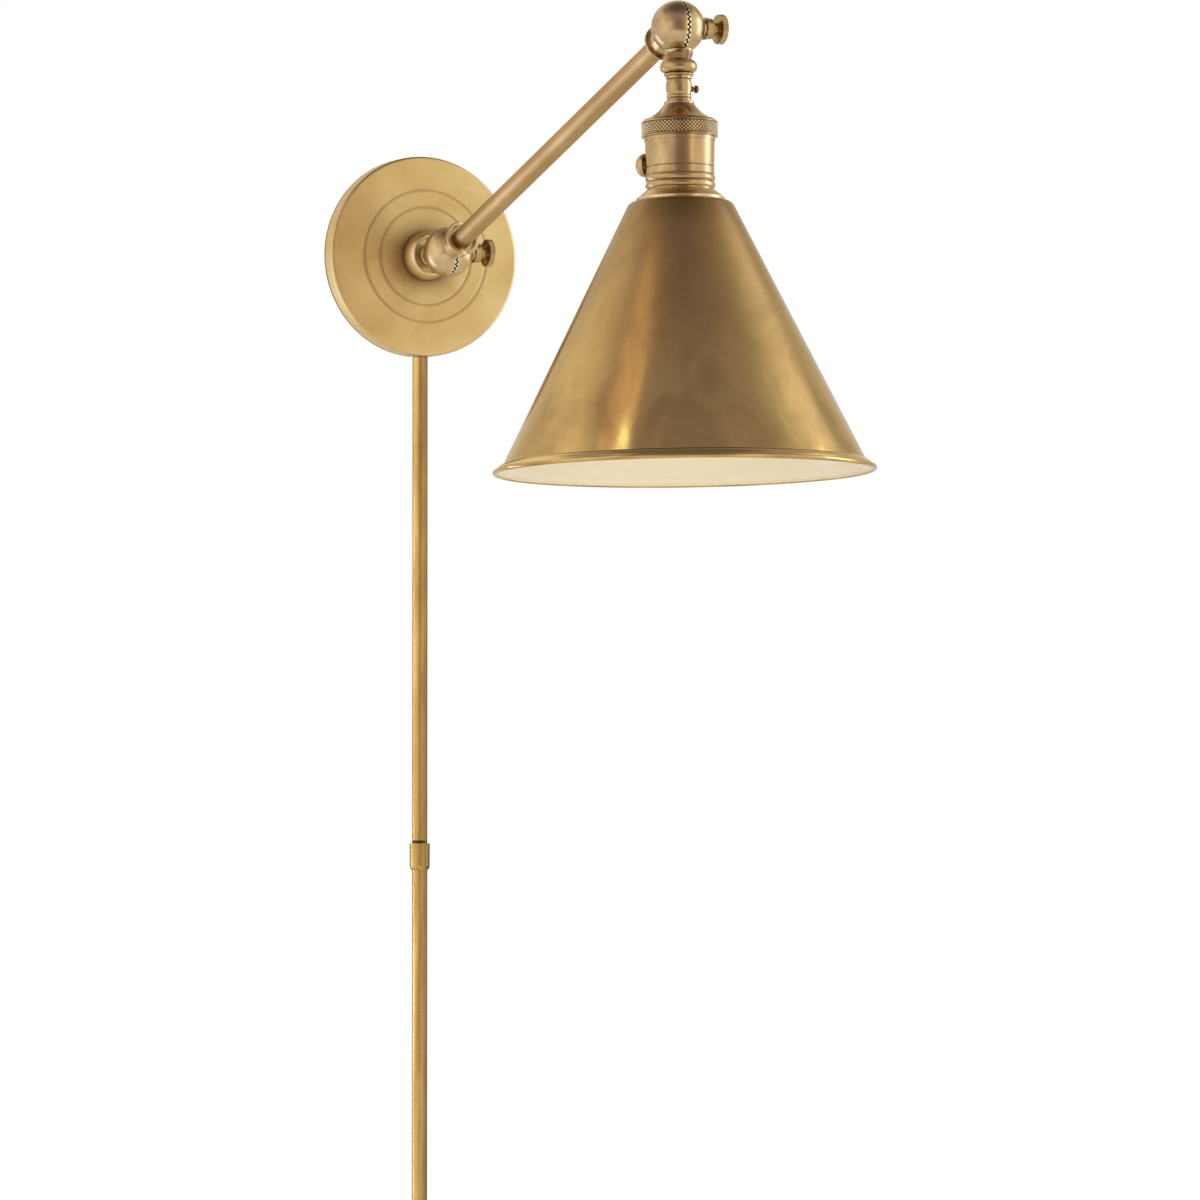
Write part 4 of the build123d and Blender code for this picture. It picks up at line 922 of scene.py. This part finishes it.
# Studio that the metal shows: white sweep behind the light, soft lights at both sides, a dim room behind
# the camera and a dim ceiling. Each stop is degrees right of the camera, level and tint; low is level with
# the light, high is above it. Spans are heights on the dome, from -1 below to 1 overhead.
studioSizes = {
    "fill": 0.62, "peak": 6.0, "raiseSpan": (0.22, 0.55), "under": 0.92, "underSpan": (-0.12, 0.08),
    "overhead": ((0.64, 0.79, 0.36), (0.84, 0.95, 0.13)), "overheadTint": (1, 0.90, 1.02),
    "low": (
        (-180, 0.78, "#FFFFFF"), (-150, 0.84, "#FFFFFF"), (-95, 1.00, "#FFFFFF"), (-68, 1.28, "#FFFBF0"),
        (-52, 1.12, "#FFFBF4"), (-20, 0.78, "#FFFFFF"), (-12, 0.38, "#FFECF0"), (10, 0.33, "#FFECF0"),
        (28, 0.44, "#FFF2E8"), (34, 1.00, "#FFEFD2"), (41, 1.28, "#FFEFD2"), (50, 1.00, "#FFF8E8"),
        (62, 0.94, "#FFFFFF"), (78, 1.12, "#FFFFFF"), (90, 1.50, "#FFFFFF"), (97, 3.00, "#DCE8FF"),
        (104, 5.10, "#D8E4FF"), (112, 3.90, "#DCE8FF"), (121, 1.50, "#FFFFFF"), (140, 0.78, "#FFFFFF"),
        (180, 0.78, "#FFFFFF"),
    ),
    "high": (
        (-180, 0.80, "#FFFFFF"), (-140, 0.96, "#FFFFFF"), (-100, 0.98, "#FFF8EE"), (-66, 0.96, "#FFF4E4"),
        (-56, 0.94, "#FFEBCE"), (-42, 0.84, "#FFE2BC"), (-36, 0.48, "#FFE9F2"), (12, 0.42, "#FFE9F4"),
        (34, 0.68, "#FFF4F0"), (62, 0.98, "#FDFFF0"), (95, 1.02, "#FDFFF2"), (118, 1.25, "#FFFFFF"),
        (128, 1.00, "#FFFFFF"), (132, 0.55, "#FFFFFF"), (152, 0.58, "#FFFFFF"), (180, 0.70, "#FFFFFF"),
    ),
}
world = bpy.data.worlds.new("studio")
bpy.context.scene.world = world
world.use_nodes = True
world.node_tree.nodes.clear()


def sweepRamp(tree, turnShare, stops, peak):
    ramp = addNode(tree, "ShaderNodeValToRGB", i0=turnShare)
    marks = ramp.color_ramp.elements
    for number, (degrees, level, tint) in enumerate(stops):
        share = (degrees + 180) / 360
        mark = marks[0] if number == 0 else marks[-1] if share == 1 else marks.new(share)
        mark.position = share
        mark.color = [c * level / peak for c in srgb(tint)[:3]] + [1.0]
    return ramp


def lightStudio(tree, s):
    look = Vector(viewSizes["look"])
    towards = Vector((-look.x, -look.y, 0)).normalized()
    rightward = Vector((look.y, -look.x, 0)).normalized()
    rays = addNode(tree, "ShaderNodeLightPath")
    coords = addNode(tree, "ShaderNodeTexCoord")
    ahead = addNode(
        tree, "ShaderNodeVectorMath", {"operation": "DOT_PRODUCT"},
        i0=coords.outputs["Generated"], i1=tuple(towards),
    )
    aside = addNode(
        tree, "ShaderNodeVectorMath", {"operation": "DOT_PRODUCT"},
        i0=coords.outputs["Generated"], i1=tuple(rightward),
    )
    angle = addNode(
        tree, "ShaderNodeMath", {"operation": "ARCTAN2"},
        i0=aside.outputs["Value"], i1=ahead.outputs["Value"],
    )
    turnShare = addNode(
        tree, "ShaderNodeMapRange", Value=angle.outputs[0], i1=-math.pi, i2=math.pi, i3=0.0, i4=1.0,
    )
    low = sweepRamp(tree, turnShare.outputs[0], s["low"], s["peak"])
    high = sweepRamp(tree, turnShare.outputs[0], s["high"], s["peak"])
    height = addNode(tree, "ShaderNodeSeparateXYZ", i0=coords.outputs["Generated"])
    raiseFrom, raiseTo = s["raiseSpan"]
    raised = addNode(
        tree, "ShaderNodeMapRange", {"interpolation_type": "SMOOTHSTEP"}, Value=height.outputs[2],
        i1=raiseFrom, i2=raiseTo, i3=0.0, i4=1.0,
    )
    sides = addNode(
        tree, "ShaderNodeMix", {"data_type": "RGBA"}, i0=raised.outputs[0],
        i6=low.outputs[0], i7=high.outputs[0],
    )
    underFrom, underTo = s["underSpan"]
    lowered = addNode(
        tree, "ShaderNodeMapRange", Value=height.outputs[2], i1=underFrom, i2=underTo, i3=s["under"], i4=1.0,
    )
    dome = addNode(
        tree, "ShaderNodeVectorMath", {"operation": "SCALE"}, i0=sides.outputs[2], Scale=lowered.outputs[0],
    ).outputs[0]
    for lowEnd, highEnd, level in s["overhead"]:
        overhead = addNode(
            tree, "ShaderNodeMapRange", {"interpolation_type": "SMOOTHSTEP"}, Value=height.outputs[2],
            i1=lowEnd, i2=highEnd, i3=0.0, i4=1.0,
        )
        dim = level / s["peak"]
        dome = addNode(
            tree, "ShaderNodeMix", {"data_type": "RGBA"}, i0=overhead.outputs[0],
            i6=dome, i7=[dim * c for c in s["overheadTint"]] + [1],
        ).outputs[2]
    shown = addNode(tree, "ShaderNodeBackground", Color=dome, Strength=s["peak"])
    fill = addNode(tree, "ShaderNodeBackground", Color=(1, 1, 1, 1), Strength=s["fill"])
    white = addNode(tree, "ShaderNodeBackground", Color=(1, 1, 1, 1), Strength=1.0)
    plain = addNode(
        tree, "ShaderNodeMath", {"operation": "MAXIMUM"},
        i0=rays.outputs["Is Camera Ray"], i1=rays.outputs["Is Transmission Ray"],
    )
    soft = addNode(
        tree, "ShaderNodeMixShader", i0=rays.outputs["Is Glossy Ray"],
        i1=fill.outputs[0], i2=shown.outputs[0],
    )
    sky = addNode(tree, "ShaderNodeMixShader", i0=plain.outputs[0], i1=soft.outputs[0], i2=white.outputs[0])
    addNode(tree, "ShaderNodeOutputWorld", Surface=sky.outputs[0])


lightStudio(world.node_tree, studioSizes)

# Soft boxes for the shadows and the painted pieces: place, aim and size in metres, power in watts.
# Those with a grid, in degrees, show in the metal alone: one low beside the cord cover, three near the shade.
softBoxes = {
    "leftBox": {"place": (-2.3, -1.1, 1.2), "aim": (0, -0.3, 0), "size": (1.2, 1.6), "power": 16},
    "rightBox": {"place": (1.9, -1.6, 0.9), "aim": (0, -0.3, 0), "size": (1.4, 1.8), "power": 16},
    "topBox": {"place": (-0.2, -0.6, 2.2), "aim": (0, -0.3, 0), "size": (1.6, 1.2), "power": 12},
    "lowBox": {"place": (-0.5, -2.0, -0.6), "aim": (0, -0.37, -0.1), "size": (1.2, 0.8), "power": 11.5},
    "coverStrip": {
        "place": (-0.47, 0.37, -0.37), "aim": (0, 0, -0.37), "size": (0.08, 0.56), "power": 0.9, "grid": 180,
        "tint": "#C8D6FF",
    },
    "shadeSpot": {
        "place": (-0.182, -0.449, 0.003), "aim": (-0.067, -0.420, -0.119), "size": (0.022, 0.04),
        "power": 0.0006, "grid": 50, "tint": "#E2FFE2",
    },
    "shadeGlow": {
        "place": (-0.185, -0.422, 0.082), "aim": (-0.046, -0.398, -0.059), "size": (0.080, 0.12),
        "power": 0.0017, "grid": 50, "tint": "#FFD9A8",
    },
    "rimSpot": {
        "place": (0.191, -0.466, -0.044), "aim": (0.044, -0.444, -0.126), "size": (0.03, 0.03),
        "power": 0.0010, "grid": 50, "tint": "#FFFBEA",
    },
}
for boxName, s in softBoxes.items():
    lamp = bpy.data.lights.new(boxName, "AREA")
    lamp.shape = "RECTANGLE"
    lamp.size, lamp.size_y = s["size"]
    lamp.energy = s["power"]
    holder = bpy.data.objects.new(boxName, lamp)
    holder.location = s["place"]
    holder.rotation_euler = (Vector(s["aim"]) - Vector(s["place"])).to_track_quat("-Z", "Y").to_euler()
    holder.visible_glossy = "grid" in s
    holder.visible_diffuse = "grid" not in s
    holder.visible_camera = False
    lamp.spread = math.radians(s.get("grid", 180))
    lamp.color = srgb(s.get("tint", "#FFFFFF"))[:3]
    bpy.context.scene.collection.objects.link(holder)

bpy.context.scene.view_settings.view_transform = "Standard"
print("stage, camera and lamps set")
